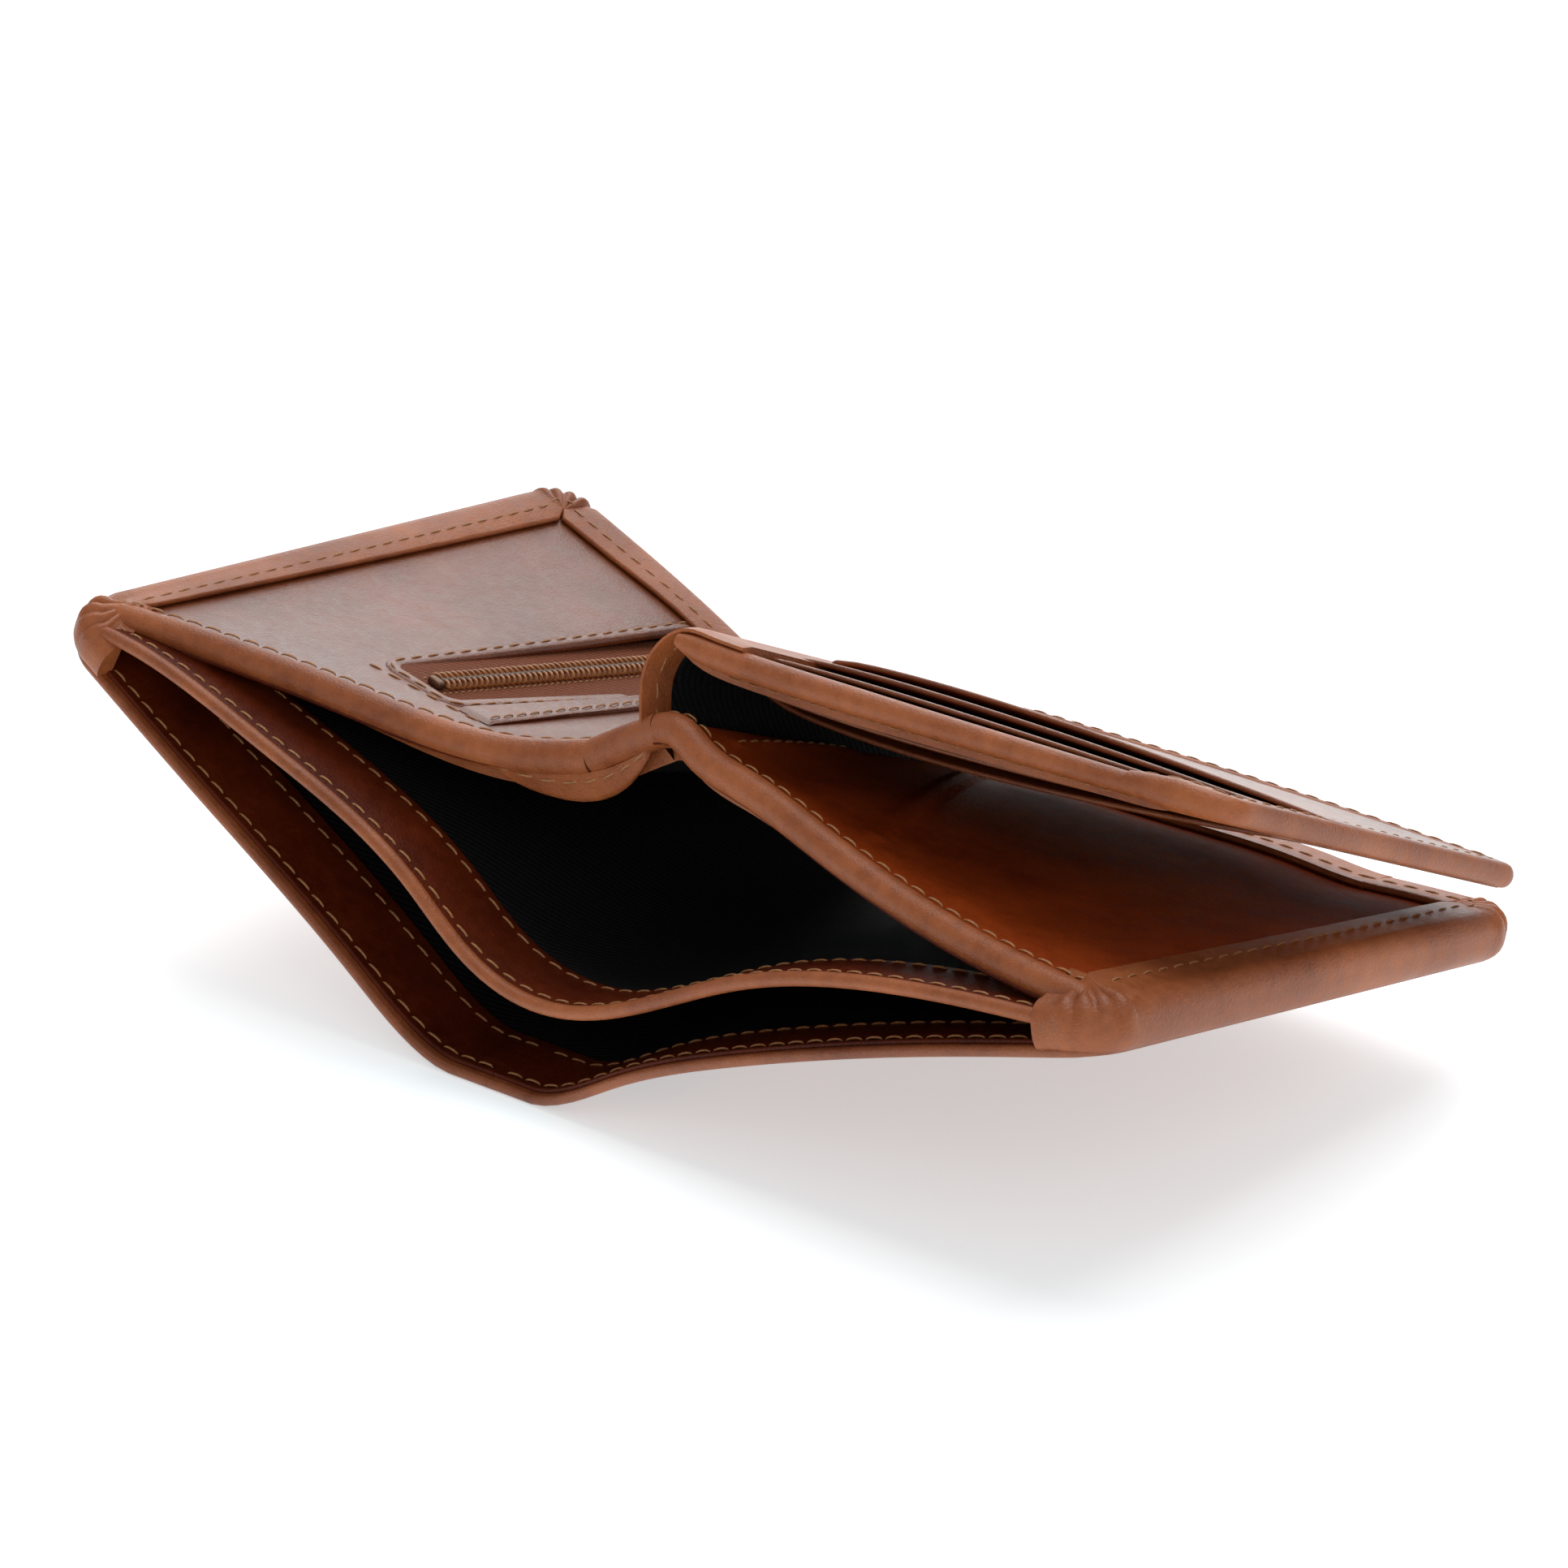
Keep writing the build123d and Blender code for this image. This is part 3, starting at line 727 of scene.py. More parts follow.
def make_foot_wall(side):
    """The leather turned up at the foot, from the cover to the panel that stands free of it."""
    rings, seam = [], []
    for a in np.linspace(8.5, FOOT_WALL_END[side] + 2.5, 46):
        x, _, low = LEAVES[side].at(a, FOOT, 0.0)
        edge, middle, inner = TOPS[side](x, np.array([FOOT - 0.7, FOOT - 3.5, FOOT - 6.6]))
        edge = max(edge, low + STACK - 1.1)
        section = [(1.0, low + 0.1), (1.05, edge), (0.75, edge + 0.75), (0.0, edge + 1.1), (-3.5, middle + 1.1),
                   (-6.6, inner + 1.1), (-7.0, inner + 0.6), (-6.6, inner + 0.1), (-3.5, middle + 0.1),
                   (-0.5, edge + 0.1), (-0.1, edge - 0.8), (-0.1, low + 0.3)]
        rings.append([(x, FOOT + y, z) for y, z in section])
        seam.append((x, FOOT - 3.5, middle + 1.1))
    above = np.tile([0.0, 0.0, 1.0], (len(seam), 1))
    flatten(sweep(f"foot_wall_{side}", rings, "edge"), side)
    flatten(stitches(f"foot_seam_{side}", seam, above, thread=FINE_THREAD), side)


def mouth_edge(surface, t, step):
    """Stations along a sheet's mouth edge: shares, points, and directions up and inwards."""
    share = np.linspace(t[0], t[1], max(int(surface.mouth.length * (t[1] - t[0]) / step), 8))
    low = surface.at(share, 0.0)
    return share, low, unit(surface.at(share, 0.0, 1.0) - low), unit(surface.at(share, 0.05) - low)


def make_rim(name, surface, t, radius):
    """The rounded front of a sheet's mouth edge."""
    _, low, up, into = mouth_edge(surface, t, 1.5)
    angles = np.arange(12) * math.pi / 6
    rings = [[p + b * radius * (0.55 - math.cos(v)) + n * radius * 0.92 * math.sin(v) for v in angles]
             for p, n, b in zip(low, up, into)]
    return sweep(name, rings, "edge")


def make_divider():
    """The leather-faced divider between the two note compartments, in three pieces."""
    mouth = Curve(DIVIDER_MOUTH)
    shares = np.linspace(0, 1, 800)
    first, second = (np.interp(x, mouth(shares)[:, 0], shares) for x in DIVIDER_CUTS)
    foot_y = FOOT - 0.4
    left, right = LEAVES["left"], LEAVES["right"]
    foot = [left.at(a, foot_y, DIVIDER_AT) for a in np.linspace(left.width - 1.5, 8, 7)]
    foot += [np.array([-4.0, foot_y, DIVIDER_AT])]
    foot += [right.at(a, foot_y, DIVIDER_AT) for a in np.linspace(8, right.width - 1.5, 8)]
    surface = Panel([(x, MOUTH + 0.9, z) for x, z in DIVIDER_MOUTH], foot)
    face = FACING_WIDTH / HEIGHT
    for side, t in (("left", (0.03, first)), ("middle", (first, second)), ("right", (second, 0.972))):
        ends = (side != "left", side != "right")
        base = panel_sheet(f"divider_leather_{side}", surface, t, (0, face), 1.5, 0.0, "facing", ends)
        body = panel_sheet(f"divider_twill_{side}", surface, t, (face - 0.02, 0.99), 0.7, 0.0, "twill", ends)
        pieces = [base, body, make_rim(f"divider_rim_{side}", surface, t, 1.05)]
        share = np.linspace(t[0], t[1], 260)
        for i, depth in enumerate((2.3, FACING_WIDTH - 1.8)):
            low, high = (surface.at(share, depth / HEIGHT, h) for h in (0.75, 1.05))
            pieces.append(stitches(f"divider_seam_{side}_{i + 1}", low, high - low))
        for piece in pieces:
            if side == "middle":
                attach(piece, "spine_band")
                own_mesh(piece)
            else:
                flatten(piece, side)
        if side != "middle":
            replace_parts(base, f"divider_{side}")


# ---------------------------------------------------------------- inner panels

# Depth of the leather rolled round the panels' mouth edges, and the share of a panel's width that it covers
BINDING_DEPTH = 5.4
PANEL_END = 0.968


def binding_section(depth):
    """Section of leather folded round an edge, 1 mm high, as (inwards, up)."""
    r = 0.5
    front = [(r - r * math.cos(v), r * math.sin(v)) for v in np.linspace(QUARTER, -QUARTER, 11)]
    return np.array(front + [(depth * 0.55, -r), (depth, -r + 0.5), (depth, r - 1.3), (depth * 0.72, r - 0.25),
                             (depth * 0.45, r)])


def make_binding(name, surface, t, height):
    """The leather folded round a panel's mouth edge, as high as height gives it, and its seam."""
    share, low, up, into = mouth_edge(surface, t, 1.2)
    heights = np.array([height(v) for v in share])
    section = binding_section(BINDING_DEPTH)
    rings = [[p + b * (d if d > 0.6 else d * h) + n * (v * h) for d, v in section]
             for p, n, b, h in zip(low, up, into, heights)]
    line = low + into * (BINDING_DEPTH - 2.1) + up * (heights * 0.5 - 0.02)[:, None]
    return sweep(name, rings, "edge"), stitches(name + "_seam", line, up)


def rounded_corners(half_width, half_length, radius, count):
    """The four corners of a rounded outline, each as stations (x, y, outward x, outward y)."""
    x, y = half_width - radius, half_length - radius
    corners = []
    for k, (cx, cy) in enumerate(((x, y), (-x, y), (-x, -y), (x, -y))):
        turns = np.linspace(0, QUARTER, count) + k * QUARTER
        corners.append([(cx + radius * math.cos(v), cy + radius * math.sin(v), math.cos(v), math.sin(v))
                        for v in turns])
    return corners


def cut_window(piece):
    """Cuts the zip's window through a panel."""
    corners = rounded_corners(WINDOW[0] / 2 + 0.3, WINDOW[1] / 2 + 0.3, 1.5, 5)
    outline = np.concatenate(corners)
    rings = [ZIP.at(outline[:, 0], outline[:, 1], h) for h in (-9.0, 9.0)]
    cutter = sweep("window_cutter", rings, "panel", smooth=False)
    change = piece.modifiers.new("window", "BOOLEAN")
    change.object, change.operation, change.solver = cutter, "DIFFERENCE", "EXACT"
    bpy.context.view_layer.objects.active = piece
    bpy.context.view_layer.update()
    done = bpy.data.meshes.new_from_object(piece.evaluated_get(bpy.context.evaluated_depsgraph_get()))
    piece.modifiers.clear()
    piece.data = done
    bpy.data.objects.remove(cutter)


# Raised edges of the slip pocket: two ends in shares of the panel's sides, then half width and height
POCKET_RIDGES = (
    ((0.395, 0.14), (0.105, 0.77), 1.6, 0.5),
    ((0.105, 0.77), (0.055, 0.99), 1.6, 0.5),
    ((0.08, 0.125), (0.035, 0.5), 1.0, 0.3),
)
PANEL_SIDE = 85.0


def pocket_ply(t, s):
    """Heights of the slip pocket's edges on the right panel: a diagonal band and a seam."""
    lift = np.zeros_like(t)
    for (t0, s0), (t1, s1), width, height in POCKET_RIDGES:
        along = np.array([t1 - t0, s1 - s0]) * PANEL_SIDE
        reach = math.hypot(*along)
        u, v = (t - t0) * PANEL_SIDE, (s - s0) * PANEL_SIDE
        run = np.clip((u * along[0] + v * along[1]) / reach ** 2, 0, 1)
        away = np.hypot(u - run * along[0], v - run * along[1])
        lift = np.maximum(lift, height * np.exp(-(away / width) ** 8))
    return lift


def panel_seam(name, surface, points, height, side):
    """A seam on a panel through points given as shares of its sides."""
    points = np.asarray(points, float)
    share = np.linspace(0, 1, 240)
    knots = np.linspace(0, 1, len(points))
    t, s = (np.interp(share, knots, points[:, k]) for k in (0, 1))
    low = surface.at(t, s, height)
    return flatten(stitches(name, low, surface.at(t, s, height + 0.3) - low, thread=0.18), side)


def roll_height(side, t):
    """Height of the roll along a panel's mouth edge, which tapers at the outer corner."""
    height = 4.0 + 1.0 * (1 - t) if side == "left" else 4.6 - 1.0 * t
    return height * (1 - 0.45 * max(0, (t - 0.93) / 0.05))


def make_panels():
    """The inner panels with their linings, facings and rolls, and what lies on them."""
    skins = {"left": ("panel", PANEL_STEP, None), "right": ("pocket", FINE_STEP, pocket_ply)}
    for side, (material, step, bump) in skins.items():
        surface, lining = panel(side), panel(side, drop=1.6)
        skin = panel_sheet(f"inner_panel_skin_{side}", surface, (0, PANEL_END), (0.03, 0.995), PANEL, 0.55,
                           material, step=step, bump=bump)
        under = panel_sheet(f"inner_twill_{side}", lining, (0, PANEL_END), (0.05, 0.995), 0.4, 0.0, "twill")
        lip = panel_sheet(f"inner_facing_{side}", lining, (0, 0.962), (0.004, 0.09), 0.8, -0.1, "facing")
        if side == "left":
            cut_window(skin)
            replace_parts(skin, "inner_panel_left", "coin_pouch")
            make_zip_fold(surface)
        else:
            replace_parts(skin, "inner_panel_right", "slip_pocket_right")
            panel_seam("pocket_seam", surface, POCKET_RIDGES[2][:2], PANEL + 0.3, side)
        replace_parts(under, f"inner_lining_{side}")
        depth = np.linalg.norm(lining.raw(0.5, 1.0) - lining.raw(0.5, 0.0)) * 0.945
        roll, seam = make_binding(f"mouth_roll_{side}", surface, (0, 0.975), lambda t: roll_height(side, t))
        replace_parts(roll, f"mouth_binding_{side}")
        for piece in (skin, under, lip, roll, seam):
            flatten(piece, side)
    make_crest()


def make_zip_fold(surface):
    """The folded leather beside the zip, over the pouch's inner edge, and its seam."""
    outer = [(0.372, 0.16), (0.374, 0.4), (0.376, 0.64), (0.38, 0.84)]
    inner = [(0.300, 0.15), (0.327, 0.38), (0.344, 0.62), (0.352, 0.84)]
    share = np.linspace(0, 1, 60)
    knots = np.linspace(0, 1, 4)
    across = np.linspace(0, 1, 14)
    t, v = (np.interp(share, knots, [p[k] for p in inner])[:, None] * (1 - across)
            + np.interp(share, knots, [p[k] for p in outer])[:, None] * across for k in (0, 1))
    lift = PANEL + 0.1 + 0.55 * np.exp(-across / 0.16)[None, :] * np.sin(np.pi * share)[:, None] ** 0.5
    distance = 6.0 * np.minimum(across, 1.4 - across)[None, :] * np.ones((60, 1))
    distance = np.minimum(distance, 60 * np.minimum(share, 1 - share)[:, None])
    flatten(slab("zip_side_fold", surface.at(t, v, lift), distance, 0.9, "panel"), "left")
    near = [(t + 0.013, s + 0.012) for t, s in inner]
    panel_seam("zip_side_seam", surface, near, PANEL + 0.85, "left")
    panel_seam("zip_end_seam", surface, [(0.575, 0.172), (0.315, 0.15)], PANEL, "left")


def make_crest():
    """The crest between the inner panels, with the leather band that hangs under its edge."""
    mouth = [(x, RUN_START + RUN_SETBACK, z) for x, z in CREST_MOUTH]
    foot = [(x, PANEL_FOOT, z) for x, z in CREST_FOOT]
    crest = Panel(mouth, foot)
    under = Panel([(x, y, z - 1.6) for x, y, z in mouth], [(x, y, z - 1.3) for x, y, z in foot])
    ends = (True, True)
    top = panel_sheet("crest_skin", crest, (0, 1), (0.03, 0.995), 1.3, 0.5, "panel", ends)
    lining = panel_sheet("crest_twill", under, (0, 1), (0.05, 0.995), 0.4, 0.0, "twill", ends)
    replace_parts(top, "inner_spine")
    make_crest_band()
    for piece in (top, lining):
        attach(piece, "spine_crest")
        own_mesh(piece)
    for piece in make_binding("crest_roll", crest, (0, 1), lambda t: 5.0 - 0.4 * t):
        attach(piece, "spine_crest")


def make_crest_band():
    """A leather band and its seam, hanging under the wave of the mouth edge."""
    knots = ((-17, 38.2), (-10, 38.2), (-4, 39.0), (3, 41.8), (8, 45.0))
    share = np.linspace(0, 1, 50)
    rim = Curve([(x, run_y(x, "left") + 1.2, z) for x, z in knots])(share)
    depth = 4.6 * np.sin(np.pi * np.clip(share * 0.9 + 0.06, 0, 1)) ** 0.6
    across = np.linspace(0, 1, 9)
    down = np.stack([0.06 * depth, 0.35 * depth, -depth], axis=-1)
    middle = rim[:, None, :] + down[:, None, :] * across[None, :, None]
    distance = depth[:, None] * np.minimum(across + 0.5, 1 - across)[None, :]
    distance = np.minimum(distance, 25 * np.minimum(share, 1 - share)[:, None])
    line = rim + down * 0.3 + np.array([-0.1, -0.62, -0.1])
    towards = np.tile([0.0, -1.0, 0.0], (len(share), 1))
    rides_crest_folded(slab("crest_band", middle, distance, 1.1, "edge"))
    rides_crest_folded(stitches("crest_band_seam", line, towards, thread=FINE_THREAD))


def rides_crest_folded(piece):
    """The piece rides the crest, on a mesh of its own."""
    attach(piece, "spine_crest")
    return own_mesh(piece)


# ---------------------------------------------------------------- flap

HINGE_HALF = 0.62


def hinge_line(y):
    """Section of the hinge strip's middle at y, from the flap round and down to the crest, and the
    directions into its fold."""
    drop = 14.6 - 0.9 * np.clip(y / FLAP_DEPTH, 0, 1)
    line = Curve([(FLAP_ROOT + 3, -1.2), (FLAP_ROOT - 3, -0.9), (2.0, -1.0), (-1.4, -3.8), (-2.4, -7.6),
                  (-1.4, -drop * 0.8), (-0.3, -drop)])(np.linspace(0, 1, 26))
    along = unit(np.gradient(line, axis=0))
    return line, np.stack([-along[:, 1], along[:, 0]], axis=-1)


def make_hinge_strip():
    """The strip rolled over at the flap's root, its twill lining and the seam along its end."""
    rings, lining = [], []
    for y in np.linspace(-0.6, FLAP_DEPTH, 40):
        line, inwards = hinge_line(y)
        nose = math.sqrt(max(0.02, 1 - max(0.0, (0.3 - y) / 0.95) ** 2)) if y < 0.3 else 1.0
        half = HINGE_HALF * nose
        loop = np.concatenate([line + inwards * half, (line - inwards * half)[::-1]])
        cloth = np.concatenate([line + inwards * 0.95, (line + inwards * 0.65)[::-1]])
        rings.append(FLAP.at(loop[:, 0], y, loop[:, 1]))
        lining.append(FLAP.at(cloth[:, 0], max(y, 3.2), cloth[:, 1]))
    strip = sweep("hinge_roll", rings, "edge")
    twill = sweep("hinge_twill", lining[3:], "twill")
    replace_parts(strip, "flap_hinge_strip")
    line, inwards = (v[4:] for v in hinge_line(2.0))
    path = line + inwards * HINGE_HALF
    up = FLAP.x * inwards[:, :1] + FLAP.z * inwards[:, 1:]
    seam = stitches("hinge_seam", FLAP.at(path[:, 0], 2.0, path[:, 1]), up, thread=FINE_THREAD)
    root, base = FLAP.at(6.0, 20.0, -1.0), FLAP.at(-1.5, 20.0, -9.0)
    for piece in (strip, twill, seam):
        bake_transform(piece)


# Height of the flap's middle under its plane, the x from which it thins, and over what length
FLAP_MIDDLE = -2.4
THIN_FROM = 30.0
THIN_OVER = 57.0


def thinning(x):
    return np.clip((np.asarray(x, float) - THIN_FROM) / THIN_OVER, 0, 1)


def flap_height(x, height):
    """Heights within the flap, which thins from its root to its outer edge."""
    return FLAP_MIDDLE + (np.asarray(height, float) - FLAP_MIDDLE) * (1 - 0.5 * thinning(x) ** 1.5)


def make_flap():
    """The flap's card pockets, backing, twill and the pockets under it, from the top down."""
    level = 0.0
    across = (FLAP_ROOT - 1, FLAP_WIDTH - 0.6)
    for i, near in enumerate(POCKET_EDGES):
        page = flat_sheet(f"card_pocket_{i + 1}", FLAP, across, (near, FLAP_DEPTH), level, 0.7, "flap",
                          radii=(1.0, 4.0), gape=1.5 - 0.25 * i, settle=flap_height)
        # A black twill strip just under each pocket's mouth, 30 mm deep and reaching 2.6 mm past it: a dark sheet
        # standing in for the shade in the slits between the pockets
        shade = flat_sheet(f"card_pocket_slit_shade_{i + 1}", FLAP, (FLAP_ROOT + 2, FLAP_WIDTH - 7),
                           (near - 2.6, near + 30), level - 0.72, 0.2, "twill", settle=flap_height)
        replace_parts(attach(page, "flap"), f"flap_top_pocket_{i + 1}")
        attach(shade, "flap")
        level -= 0.9
    backing = flat_sheet("flap_base", FLAP, (FLAP_ROOT - 1, FLAP_WIDTH - 0.5), (0, FLAP_DEPTH), level, 1.2,
                         "flap", radii=(3.0, 4.0), settle=flap_height)
    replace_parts(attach(backing, "flap"), "flap_backing")
    top = level
    level -= 1.25
    lining = flat_sheet("flap_twill", FLAP, (FLAP_ROOT - 2, FLAP_WIDTH - 2), (3.4, FLAP_DEPTH - 1), level, 0.4,
                        "twill", radii=(0, 3.0), settle=flap_height)
    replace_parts(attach(lining, "flap"), "flap_lining")
    level -= 0.45
    for i, near in enumerate(UNDER_EDGES):
        page = flat_sheet(f"under_pocket_{i + 1}", FLAP, across, (near, FLAP_DEPTH), level, 0.7, "flap",
                          radii=(1.0, 4.0), gape=-1.6 - 0.9 * i, settle=flap_height)
        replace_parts(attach(page, "flap"), f"flap_under_pocket_{i + 1}")
        level -= 0.9
    make_near_roll(top - 0.65)
    make_outer_roll(level)


def make_near_roll(centre):
    """The rolled leather round the flap's near edge, and its seam underneath."""
    end, drawn_in = FLAP_WIDTH - 14, 4.6
    turn = CORNER_ANGLES[1:]
    x = np.concatenate([np.linspace(1.6, end, 60), end + drawn_in * np.sin(turn)])
    drawn = np.concatenate([np.zeros(60), drawn_in * (1 - np.cos(turn))])
    section = binding_section(4.6)
    middle = flap_height(x, centre) + 0.9 * np.exp(-(x - 1.6) / 6)
    rings = []
    for cx, back, m, full in zip(x, drawn, middle, 3.5 - 1.0 * thinning(x)):
        swell = (1.0 if back == 0 else max(0.55, 1 - back / 9)) * (1 - 0.5 * math.exp(-(cx - 1.6) / 1.5))
        d = np.array([v if v > 0.6 else v * full for v, _ in section])
        rings.append(FLAP.at(cx, -1.3 + back + d * swell, m + section[:, 1] * full * swell))
    near = sweep("flap_near_roll", rings, "edge")
    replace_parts(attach(near, "flap"), "flap_binding")
    cx = np.linspace(FLAP_ROOT, end, 200)
    line = FLAP.at(cx, 1.7, flap_height(cx, centre) - (3.5 - 1.0 * thinning(cx)) / 2)
    stitches("flap_near_seam", line, np.tile(-FLAP.z, (200, 1)), "flap", thread=FINE_THREAD)


def make_outer_roll(bottom):
    """The thinner leather round the flap's other edges, down to its bottom, and its seam."""
    r, near = 3.6, -0.6
    x, y = FLAP_WIDTH - r, FLAP_DEPTH - r
    path = [(cx, near, 0, -1) for cx in np.linspace(FLAP_WIDTH - 15, x, 8)[:-1]]
    path += [(x + r * math.cos(v), r + near + r * math.sin(v), math.cos(v), math.sin(v))
             for v in np.linspace(-QUARTER, 0, 12)]
    path += [(FLAP_WIDTH, cy, 1, 0) for cy in np.linspace(r + near, y, 40)[1:]]
    path += [(x + r * math.cos(v), y + r * math.sin(v), math.cos(v), math.sin(v))
             for v in np.linspace(0, QUARTER, 12)[1:]]
    path += [(cx, FLAP_DEPTH, 0, 1) for cx in np.linspace(x, FLAP_ROOT, 40)[1:]]
    nose = [(0.7 - 1.4 + 1.4 * math.cos(v), math.sin(v) * 0.5) for v in np.linspace(-QUARTER, QUARTER, 13)]
    section = nose + [(-3.6, 0.5), (-4.0, 0.42), (-4.0, 0.28), (-0.6, 0.28), (-0.6, -0.28), (-4.0, -0.28),
                      (-4.0, -0.42), (-3.6, -0.5)]
    section = [(o * 1.3 if o < 0 else o, h) for o, h in section]
    rings, line = [], []
    for i, (cx, cy, ox, oy) in enumerate(path):
        high, low = flap_height(cx, np.array([0.35, bottom]))
        full, centre = (high - low) * (0.6 + 0.4 * min(1, i / 4)), (high + low) / 2
        rings.append([FLAP.at(cx + o * ox, cy + o * oy, centre + h * full) for o, h in section])
        line.append(FLAP.at(cx - 2.6 * ox, cy - 2.6 * oy, centre + full / 2))
    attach(sweep("flap_outer_roll", rings, "edge"), "flap")
    stitches("flap_outer_seam", line, np.tile(FLAP.z, (len(line), 1)), "flap", thread=FINE_THREAD)


# ---------------------------------------------------------------- zip

TAPE_WIDTH = 7.0
TAPE_LEVEL = -0.9
COIL_END = 27.5


def make_zip():
    """The zip with its tapes, teeth, cord, window lip and slider."""
    for name, sign in (("outer", -1), ("inner", 1)):
        across = sorted((sign * 0.06, sign * TAPE_WIDTH))
        tape = flat_sheet(f"zip_cloth_{name}", ZIP, across, (-30.6, 30.6), TAPE_LEVEL, 0.5, "tape")
        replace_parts(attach(tape, "zip"), f"zip_tape_{name}")
        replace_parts(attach(coil_teeth(name, sign), "zip"), f"zip_coil_{name}")
        line = ZIP.at(sign * 2.1, np.linspace(-29, 29, 200), TAPE_LEVEL)
        stitches(f"zip_coil_seam_{name}", line, np.tile(ZIP.z, (200, 1)), "zip", pitch=1.2, length=0.95,
                 thread=0.14)
    angles = np.arange(8) * math.pi / 4
    cord = [ZIP.at(0.28 * np.cos(angles), y, -0.1 + 0.28 * np.sin(angles))
            for y in np.linspace(-COIL_END, COIL_END, 90)]
    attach(sweep("zip_centre_cord", cord, "cord"), "zip")
    make_window_lip()
    make_slider()


def coil_teeth(name, sign):
    """One side's teeth: a coil of nylon wound along the tape's edge."""
    turns, per = 50, 12
    v = np.linspace(0, turns * 2 * math.pi, turns * per + 1)
    line = ZIP.at(sign * (0.95 + 0.72 * np.cos(v)), -COIL_END + 2 * COIL_END * v / v[-1], -0.30 + 0.5 * np.sin(v))
    along = unit(np.gradient(line, axis=0))
    side = unit(np.cross(along, ZIP.y))
    other = np.cross(along, side)
    angles = np.arange(6) * math.pi / 3
    rings = [[p + 0.26 * (math.cos(k) * a + math.sin(k) * b) for k in angles] for p, a, b in zip(line, side, other)]
    return sweep(f"zip_teeth_{name}", rings, "coil")


def make_window_lip():
    """The panel's leather folded into the zip's window, with a seam round it."""
    corners = rounded_corners(WINDOW[0] / 2 - 0.4, WINDOW[1] / 2 - 0.4, 1.6, 7)
    path = []
    for corner, following in zip(corners, corners[1:] + corners[:1]):
        start, end = np.array(corner[-1]), np.array(following[0])
        path += corner + [tuple(start + (end - start) * share) for share in np.linspace(0, 1, 20)[1:-1]]
    top = panel_tops("left", ZIP)
    rest = [float(top(x + 1.2 * ox, y + 1.2 * oy)) for x, y, ox, oy in path]
    section = [(0, -0.9), (-0.15, -0.35), (0.0, 0.05), (0.35, 0.25), (1.1, 0.28), (2.1, 0.15), (2.5, -0.4),
               (1.0, -0.9)]
    rings = [[ZIP.at(x + o * ox, y + o * oy, r + h) for o, h in section] for (x, y, ox, oy), r in zip(path, rest)]
    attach(sweep("zip_window_lip", rings, "panel", closed=True), "zip")
    line = [ZIP.at(x + 1.5 * ox, y + 1.5 * oy, r + 0.25)
            for (x, y, ox, oy), r in zip(path + path[:1], rest + rest[:1])]
    stitches("zip_window_seam", line, np.tile(ZIP.z, (len(line), 1)), "zip", thread=FINE_THREAD)


# How much a plate bulges at its top, as a share of its thickness
CROWN = 0.075


def rounded_plate(name, centre, size, level, thickness, radius, material):
    """A small plate over the zip with rounded corners and edges."""
    outline = np.concatenate(rounded_corners(size[0] / 2, size[1] / 2, radius, 6))
    rings = []
    for inset, h in ((0.9, 0), (0.3, 0.02), (0.08, 0.14), (0, 0.35), (0, 0.65), (0.08, 0.86), (0.3, 0.98), (0.9, 1)):
        x, y = outline[:, :2].T * (1 - inset * 2 * 0.35 / min(size))
        crown = CROWN * thickness if h == 1 else 0
        rings.append(ZIP.at(centre[0] + x, centre[1] + y, level + h * thickness + crown))
    return sweep(name, rings, material)


def make_slider():
    """The slider with its ears, pin and pull, and the stops at the zip's ends."""
    plate = rounded_plate("slider_plate", (0, SLIDER_AT), (4.6, 7.0), 0.45, 0.9, 1.6, "metal")
    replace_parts(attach(plate, "zip_slider"), "zip_slider")
    for i, x in enumerate((-1.2, 1.2)):
        ear = rounded_plate(f"slider_ear_{i + 1}", (x, SLIDER_AT), (0.8, 2.4), 1.3, 2.1, 0.35, "metal")
        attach(ear, "zip_slider")
    angles = np.arange(12) * math.pi / 6
    pin = [ZIP.at(x, SLIDER_AT + 0.48 * np.cos(angles), PIVOT_HEIGHT + 0.48 * np.sin(angles))
           for x in (-1.3, -1.2, 1.2, 1.3)]
    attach(sweep("slider_pin", pin, "metal"), "zip_slider")
    ring = [(0.68, 0.30), (0.68, -0.30), (0.55, -0.42), (-0.55, -0.42), (-0.68, -0.30), (-0.68, 0.30),
            (-0.55, 0.42), (0.55, 0.42)]
    eye = [[ZIP.at(x, SLIDER_AT + (1.0 + h * 0.9) * math.cos(v), PIVOT_HEIGHT + (0.98 + h * 0.9) * math.sin(v))
            for x, h in ring] for v in np.linspace(0, 2 * math.pi, 25)[:-1]]
    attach(sweep("pull_eye", eye, "metal", closed=True), "zip_pull")
    tab = rounded_plate("pull_tab", (0, SLIDER_AT + 6.0), (3.4, 8.5), PIVOT_HEIGHT - 0.4, 0.8, 1.4, "metal")
    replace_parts(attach(tab, "zip_pull"), "zip_pull")
    stops = [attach(rounded_plate(f"zip_stop_{i + 1}", (0, y), (2.6, 1.4), -0.85, 1.0, 0.4, "stop"), "zip")
             for i, y in enumerate((-28.3, 28.3))]
    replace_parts(stops[0], "zip_stops")


# ---------------------------------------------------------------- stage

# The camera: degrees round and up, lens and sensor in millimetres, distance and target in metres
AZIMUTH, ELEVATION = 40.9, 20.0
LENS, SENSOR = 100.56, 36.0
DISTANCE = 0.5618
TARGET = (0.0209, -0.0175, 0.0399)

# Area lights: name, place, width and power
LIGHTS = (("behind", (-0.55, 0.75, 0.45), 0.8, 4.0), ("front_fill", (0.75, -0.7, 0.55), 0.8, 2.0))


def aim(thing, direction):
    """Links a lamp or camera into the scene, looking along a direction."""
    thing.rotation_mode = "QUATERNION"
    thing.rotation_quaternion = direction.to_track_quat("-Z", "Y")
    bpy.context.scene.collection.objects.link(thing)


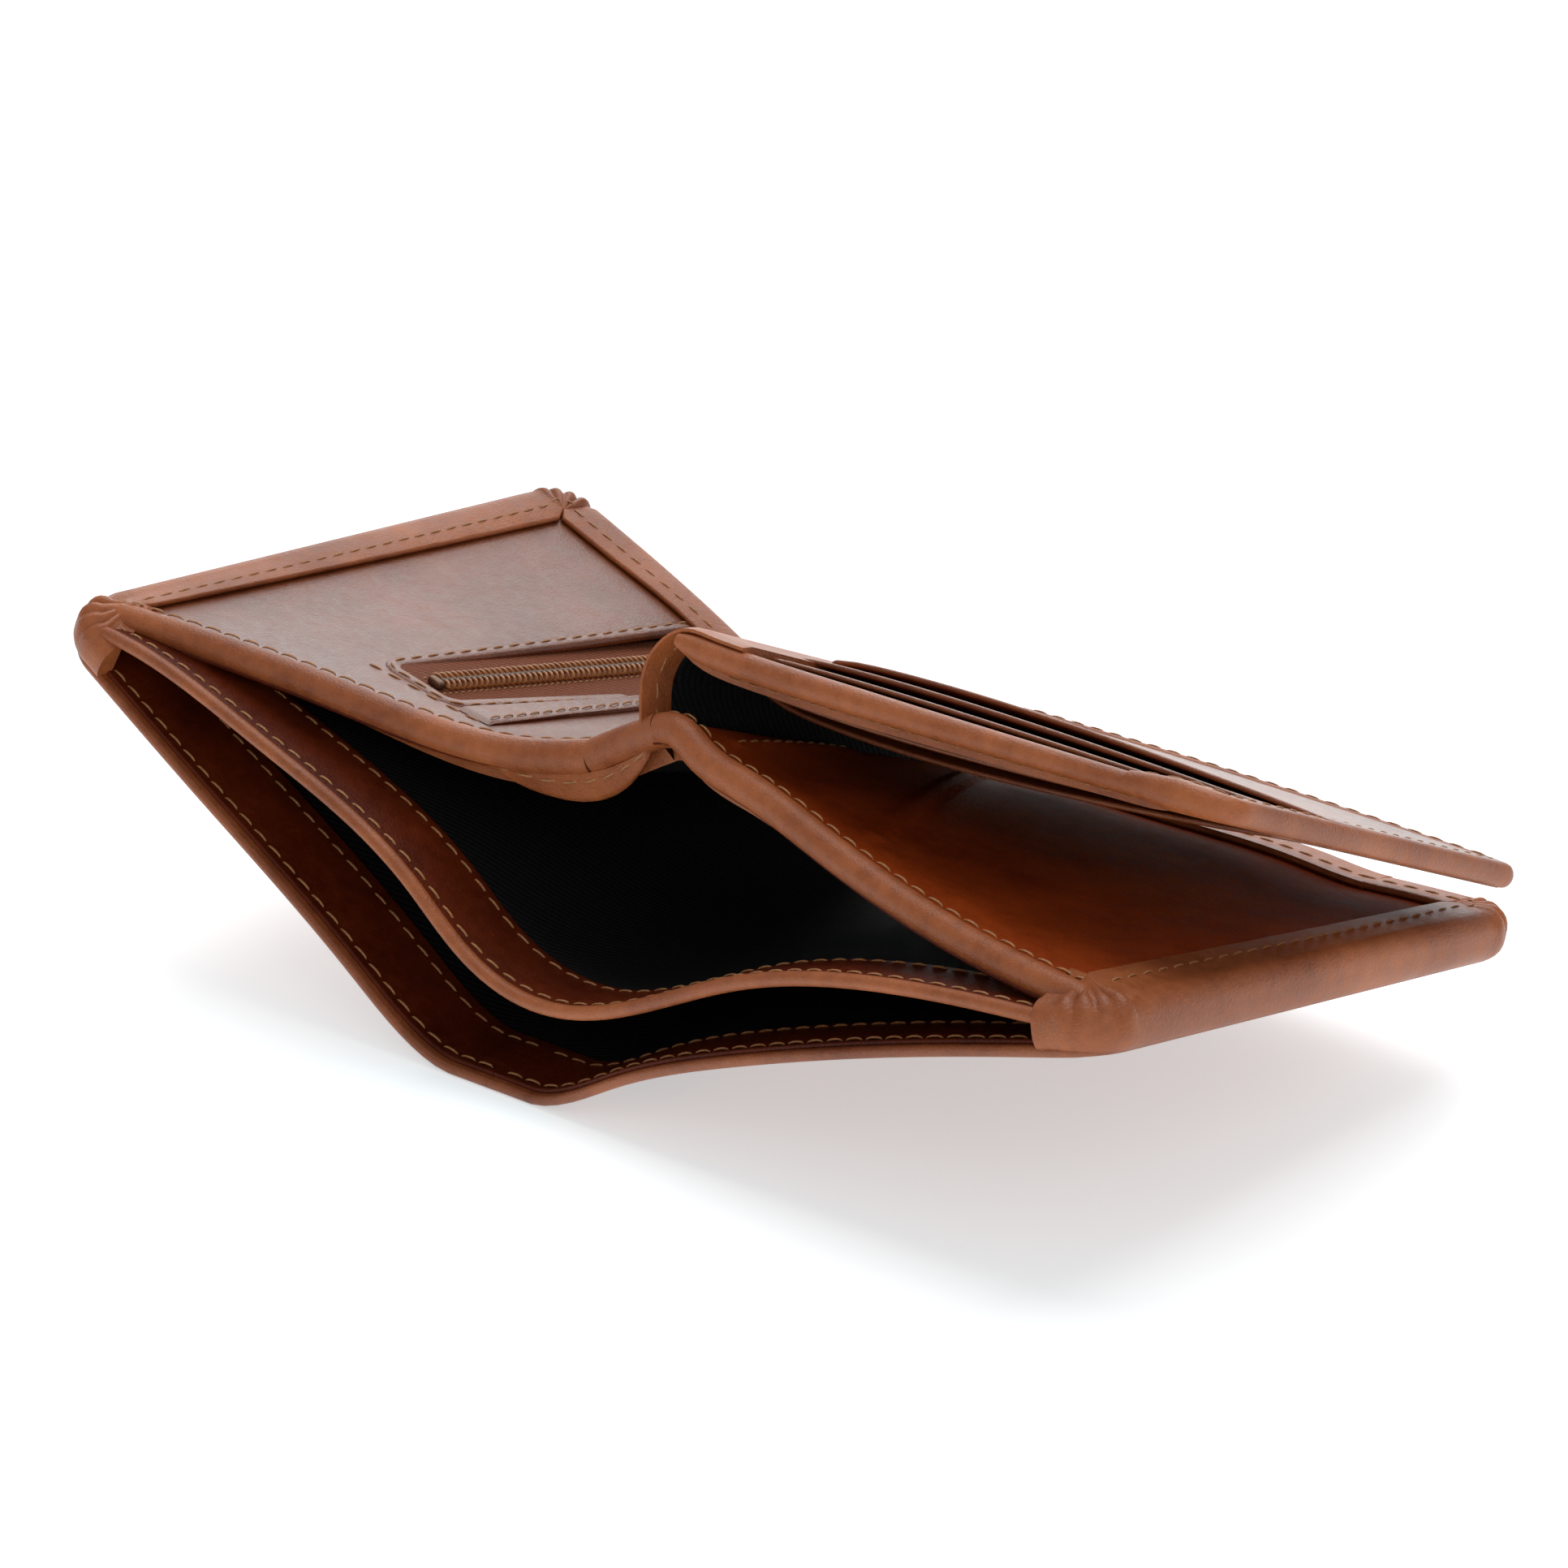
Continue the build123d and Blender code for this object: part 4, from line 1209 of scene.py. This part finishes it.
def make_floor():
    """A pale floor, lit so that only the shadow shows."""
    data = bpy.data.meshes.new("floor")
    half = 3.0
    data.from_pydata([(-half, -half, 0), (half, -half, 0), (half, half, 0), (-half, half, 0)], [], [[0, 1, 2, 3]])
    floor = bpy.data.objects.new("floor", data)
    bpy.context.scene.collection.objects.link(floor)
    material, _, shader = nodes_of("pale_floor")
    shader.inputs["Base Color"].default_value = (0.93, 0.93, 0.93, 1)
    shader.inputs["Roughness"].default_value = 0.9
    shader.inputs["Specular IOR Level"].default_value = 0.0
    shader.inputs["Emission Color"].default_value = (0.88, 1, 1.04, 1)
    shader.inputs["Emission Strength"].default_value = 0.46
    data.materials.append(material)


def stage():
    """The floor, the studio's light and the camera."""
    scene = bpy.context.scene
    make_floor()
    world = bpy.data.worlds.new("studio")
    scene.world = world
    world.use_nodes = True
    world.node_tree.nodes["Background"].inputs["Color"].default_value = (1, 1, 1, 1)
    world.node_tree.nodes["Background"].inputs["Strength"].default_value = 0.38
    sun = bpy.data.lights.new("soft_sun", "SUN")
    sun.energy, sun.angle = 1.6, math.radians(50)
    aim(bpy.data.objects.new("soft_sun", sun), Vector((0.15, -0.35, -1.0)))
    for name, place, width, power in LIGHTS:
        data = bpy.data.lights.new(name, "AREA")
        data.shape, data.size, data.energy = "SQUARE", width, power
        lamp = bpy.data.objects.new(name, data)
        lamp.location = place
        aim(lamp, Vector((0, 0, 0.03)) - Vector(place))
    scene.view_settings.view_transform = "Standard"
    a, e = math.radians(AZIMUTH), math.radians(ELEVATION)
    back = Vector((math.sin(a) * math.cos(e), -math.cos(a) * math.cos(e), math.sin(e)))
    data = bpy.data.cameras.new("camera")
    data.lens, data.sensor_width = LENS, SENSOR
    data.clip_start, data.clip_end = 0.01, 20.0
    camera = bpy.data.objects.new("camera", data)
    camera.location = Vector(TARGET) + back * DISTANCE
    aim(camera, -back)
    scene.camera = camera


for leaf_side in LEAVES:
    make_cover(leaf_side)
    make_border(leaf_side)
make_divider()
make_panels()
make_hinge_strip()
make_flap()
make_zip()
stage()
